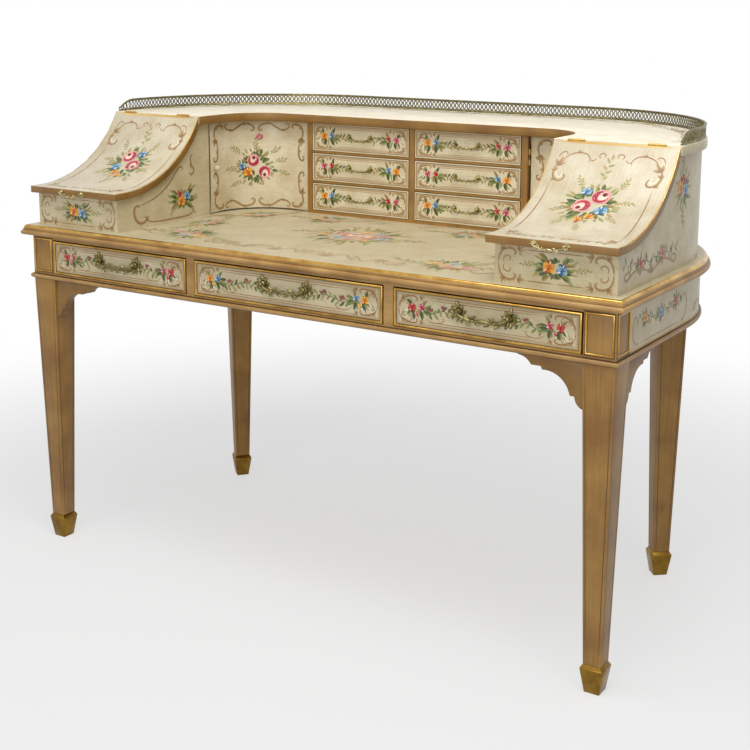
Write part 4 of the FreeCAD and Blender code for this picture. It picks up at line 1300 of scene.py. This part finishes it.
case_out = -8
quarter = corner_x + (corner_radius + case_out) * math.pi / 2
side_run, bend_run, back_run = quarter + 190, quarter - 330, 250
sheet = canvas(d_place(case_out, door_middle))
for hand in (-1, 1):
    garland(sheet, hand * side_run - 140, -62, 280, 8, 17, ((0.3, red_paints), (0.7, pink_paints)))
    scroll_pair(sheet, hand * side_run, -96, 130, 20, 4.4)
    for at, up in ((quarter + 34, 44), (bend_run, 6)):
        leaves(sheet, hand * at, up, range(0, 360, 20), 22, 8.5, 14)
        leaves(sheet, hand * at, up, range(8, 368, 30), 20, 7, 28, pale_greens)
        sprig(sheet, hand * at, up + 24, 90, 46, 20, 12)
        sprig(sheet, hand * at, up - 24, -90, 46, 20, 12)
        daisy(sheet, hand * at - 12, up + 4, 16, orange_paints)
        daisy(sheet, hand * at + 12, up - 2, 15, blue_paints)
        daisy(sheet, hand * at, up + 20, 10, red_paints)
    scroll_pair(sheet, hand * bend_run, -96, 96, 34, 5)
    scroll_pair(sheet, hand * bend_run, 98, 96, -34, 5)
    garland(sheet, hand * back_run - 150, 70, 300, 34, 17,
            ((0.2, pink_paints), (0.5, orange_paints), (0.8, blue_paints)))
    scroll_pair(sheet, hand * back_run, -96, 96, 34, 5)
leaves(sheet, 0, -8, range(0, 360, 15), 30, 12, 44)
leaves(sheet, 0, -8, range(8, 368, 20), 26, 9, 66, pale_greens)
daisy(sheet, -46, -24, 18, blue_paints)
daisy(sheet, 46, 18, 18, orange_paints)
rose(sheet, -20, 8, 27, 20)
rose(sheet, 24, -20, 26, 160)
sprig(sheet, 0, 46, 90, 44, 16, 14)
scroll_pair(sheet, 0, -100, 92, 30, 5)
hang(sheet, "case_back_flowers", "carcass")

frieze_mid_z = 700
frieze_quarter = corner_x + corner_radius * math.pi / 2
frieze_end = ((110, -34), (126, -32), (138, -20), (140, 0), (132, 18), (122, 16), (126, 6))
sheet = canvas(d_place(0, frieze_mid_z))
for hand in (-1, 1):
    middle = hand * (frieze_quarter + 150)
    garland(sheet, middle - 120, 14, 240, 10, 16,
            ((0.16, orange_paints), (0.5, blue_paints), (0.84, red_paints)))
    rule(sheet, middle - 110, -34, 0, 220, 1.8)
    for way in (-1, 1):
        ribbon(sheet, [(middle + way * s, t) for s, t in frieze_end], 4.4)
    garland(sheet, hand * (frieze_quarter - 330) - 170, 18, 340, 18, 16,
            ((0.2, red_paints), (0.5, blue_paints), (0.8, orange_paints)))
    scroll_pair(sheet, hand * (frieze_quarter - 110), -36, 70, 26, 4.4)
    scroll_pair(sheet, hand * 230, -36, 70, 26, 4.4)
garland(sheet, -180, 18, 360, 18, 16, ((0.2, red_paints), (0.5, orange_paints), (0.8, blue_paints)))
gold_width, gold_rise, gold_steps = 4.4, 2.4, 220
gold_line = bead_under + 2 * bead_radius + gold_rise - frieze_mid_z
gold_reach = frieze_quarter + corner_y - front_y - (2 * block_half + 1)
gold_run = [(gold_reach * n / gold_steps, gold_line) for n in range(-gold_steps, gold_steps + 1)]
stroke(sheet, gold_run, gold_width, gold_paints, True, 0.5, 0.04)
hang(sheet, "frieze_flowers", "carcass")

# Flowers on the writing top and the shelf
# A large bouquet in the middle of the top, sprays round its edge and fine scrolls along the front,
# laid thinner than the rest; a leafy border runs along the shelf.

leaf_thin, flower_thin, line_thin, shelf_thin = 0.12, 0.4, 0.25, 0.2
top_daisies = (
    (-62, -88, 22, pink_paints), (46, -82, 22, pink_paints), (-8, -62, 20, orange_paints),
    (-36, -138, 20, blue_paints), (30, -142, 20, orange_paints), (66, -116, 18, blue_paints),
    (-84, -122, 17, orange_paints), (-2, -154, 16, pink_paints), (26, -64, 14, blue_paints),
)
top_sprays = ((335, -290, 6, 72), (400, -150, 92, 58), (372, 20, 130, 60), (190, 46, 172, 58))
top_scrolls = (
    (((452, -270), (440, -310), (412, -330), (394, -316), (404, -296)), 6),
    (((456, -110), (456, -60), (440, -20), (424, -34), (434, -56)), 6),
    (((150, 92), (120, 100), (80, 96), (50, 76), (58, 60), (70, 72)), 6),
)


def spray(sheet, u, v, heading, size):
    """A loose spray: flowers in a bed of leaves with a sprig at either end."""
    turn = math.radians(heading)
    along = (math.cos(turn), math.sin(turn))
    sheet["thin"] = leaf_thin
    leaves(sheet, u, v, range(0, 360, 20), size * 0.5, size * 0.17, size * 0.3)
    leaves(sheet, u, v, range(10, 370, 30), size * 0.45, size * 0.13, size * 0.6, pale_greens)
    for way in (1, -1):
        sprig(sheet, u + way * along[0] * size * 0.6, v + way * along[1] * size * 0.6,
              heading + (0 if way > 0 else 180), size * 1.1, 30 * way, size * 0.3)
    sheet["thin"] = flower_thin
    for share, lean, part, paints in ((-0.5, 0.1, 0.27, orange_paints), (0.5, -0.1, 0.27, pink_paints),
                                      (0.05, 0.3, 0.2, blue_paints), (0.0, -0.25, 0.24, red_paints)):
        daisy(sheet, u + along[0] * size * share - along[1] * size * lean,
              v + along[1] * size * share + along[0] * size * lean, size * part, paints)
    sheet["thin"] = leaf_thin
    leaves(sheet, u, v, range(15, 375, 60), size * 0.4, size * 0.14, size * 0.34)


sheet = canvas(lambda u, v, out: Vector((u, v, top_height + out)) * MM, thin=leaf_thin)
leaves(sheet, -10, -105, range(0, 360, 12), 38, 13, 62)
leaves(sheet, -10, -105, range(6, 366, 16), 34, 11, 88, pale_greens)
for hand in (-1, 1):
    sprig(sheet, -10 + hand * 96, -105, 90 - hand * 90, 60, 24, 18)
sheet["thin"] = flower_thin
for flower in top_daisies:
    daisy(sheet, *flower)
rose(sheet, -24, -106, 28, 30)
rose(sheet, 22, -110, 26, 170)
for hand in (-1, 1):
    for u, v, heading, size in top_sprays:
        spray(sheet, hand * u, v, mirrored(heading, hand), size)
    sheet["thin"] = line_thin
    for at, v, length, rise in ((66, -345, 62, 40), (190, -310, 60, -40)):
        scroll_pair(sheet, hand * at, v, length, rise, 7)
    scrollwork(sheet, top_scrolls, (hand, 1))
hang(sheet, "writing_top_flowers", "carcass")

shelf_line = -34
shelf_reach = corner_x + (corner_radius + shelf_line) * math.pi / 2
border_spaces, border_last = 5.4, 5
sheet = canvas(lambda u, v, out: d_point(shelf_line - v, u, gallery_foot + out), thin=shelf_thin)
for number in range(-border_last, border_last + 1):
    at = number * shelf_reach / border_spaces
    sag, paints = (7, orange_paints) if number % 2 else (-7, pink_paints)
    garland(sheet, at - 70, 0, 140, sag, 14, ((0.5, paints),))
    if number < border_last:
        scroll_pair(sheet, at + shelf_reach / border_spaces / 2, 6, 52, 12, 3)
hang(sheet, "shelf_flowers", "carcass")

# Lines on the legs
# A fine umber line is drawn a finger's width inside every edge of each leg.

line_inset = 5.5
line_mark = 4
leg_top, leg_foot = 642, 58
leg_narrow = 18.5
leg_taper_low, leg_taper_high = 57, 643
rear_leg = (602.8, 220.8, 40.5)
umber = ("#4E3716", "#5F4520")


def leg_place(x, y, turn):
    """One face of a leg: across from its middle line and up from the floor."""
    angle = math.radians(turn)
    out_way = Vector((math.sin(angle), -math.cos(angle)))
    across = Vector((math.cos(angle), math.sin(angle)))

    def place(u, v, out):
        share = (v - leg_taper_low) / (leg_taper_high - leg_taper_low)
        half = leg_narrow + (block_half - leg_narrow) * share
        edge = math.copysign(half - line_inset - line_mark, u) + u
        at = Vector((x, y)) + across * edge + out_way * (half + out)
        return Vector((at.x, at.y, v)) * MM
    return place


sheet = canvas(None)
for x, y, turn in ((side_x - block_half, front_y + block_half, 0), rear_leg):
    for hand in (1, -1):
        for quarter_turn in (0, 90, 180, 270):
            sheet["place"] = leg_place(hand * x, y, hand * turn + quarter_turn)
            sheet["laid"].clear()
            for edge in (-1, 1):
                line = line_from(edge * line_mark, leg_foot, 90, leg_top - leg_foot, 0, 8)
                stroke(sheet, line, 1.8, umber, False, 0.5, 0.1)
hang(sheet, "leg_lines", "carcass")

# Studio
# A pale floor that fades into a white surround, a large soft key high on the right, a broad fill
# from the front and a small strip overhead that picks out the gilding along the front.

floor_side = 12
floor_near, floor_far = 1.0, 2.4


def seen_ray(tree):
    """Whether a ray comes from the eye or off something glossy, to which the surround shows white."""
    path = add(tree, "LightPath", {})
    return add(tree, "Math", {"operation": "MAXIMUM"},
               {0: path.outputs["Is Camera Ray"], 1: path.outputs["Is Glossy Ray"]})


bpy.ops.mesh.primitive_plane_add(size=floor_side)
floor = bpy.context.object
floor.name = "studio_floor"
floor_finish, tree, shader, place = new_finish("white_studio_floor")
shader.inputs["Base Color"].default_value = linear("#CFCFCF")
shader.inputs["Roughness"].default_value = 0.9
distance = add(tree, "VectorMath", {"operation": "LENGTH"}, {0: place})
fade = add(tree, "MapRange", {"From Min": floor_near, "From Max": floor_far, "To Min": 0.6,
                              "interpolation_type": "SMOOTHSTEP"}, {"Value": distance.outputs["Value"]})
share = add(tree, "Math", {"operation": "MULTIPLY"}, {0: fade, 1: seen_ray(tree)})
white = add(tree, "Emission", {"Color": (1, 1, 1, 1), "Strength": 1.0})
both = add(tree, "MixShader", {}, {0: share, 1: shader, 2: white})
tree.links.new(both.outputs[0], tree.nodes["Material Output"].inputs["Surface"])
floor.data.materials.append(floor_finish)

world = bpy.data.worlds.new("white_surround")
bpy.context.scene.world = world
world.use_nodes = True
tree = world.node_tree
back = tree.nodes["Background"]
strength = add(tree, "MapRange", {"To Min": 0.4, "To Max": 1.0}, {"Value": seen_ray(tree)})
back.inputs["Color"].default_value = (1, 1, 1, 1)
tree.links.new(strength.outputs[0], back.inputs["Strength"])


def softbox(name, place, aim, size, watts, depth=None):
    """An area lamp that looks at a point: square, or a rectangle where it has a depth."""
    lamp = bpy.data.lights.new(name, "AREA")
    lamp.size = size
    if depth:
        lamp.shape = "RECTANGLE"
        lamp.size_y = depth
    lamp.energy = watts
    made = bpy.data.objects.new(name, lamp)
    made.location = place
    made.rotation_euler = (Vector(aim) - Vector(place)).to_track_quat("-Z", "Y").to_euler()
    bpy.context.scene.collection.objects.link(made)


softbox("key", (0.9, -1.05, 3.2), (0.2, -0.1, 0.75), 1.8, 58)
softbox("fill", (0.6, -6.2, 2.2), (0, 0, 0.7), 3.0, 110)
softbox("strip", (-0.4, -1.1, 3.1), (-0.4, -0.4, 0.77), 0.9, 9, 0.7)

picture_side = 750
focal_pixels = 1342.755
principal_row = 240
sensor = 36
tilt_down, roll, turn_left = 0.1748, -0.0039, 0.5686
camera = bpy.data.cameras.new("camera")
camera.sensor_width = sensor
camera.lens = focal_pixels / picture_side * sensor
camera.shift_y = (principal_row - picture_side / 2) / picture_side
eye = bpy.data.objects.new("camera", camera)
eye.location = (1.6129, -2.5724, 1.2824)
eye.rotation_euler = (math.pi / 2 - tilt_down, roll, turn_left)
bpy.context.scene.collection.objects.link(eye)
bpy.context.scene.camera = eye
bpy.context.scene.view_settings.view_transform = "Standard"
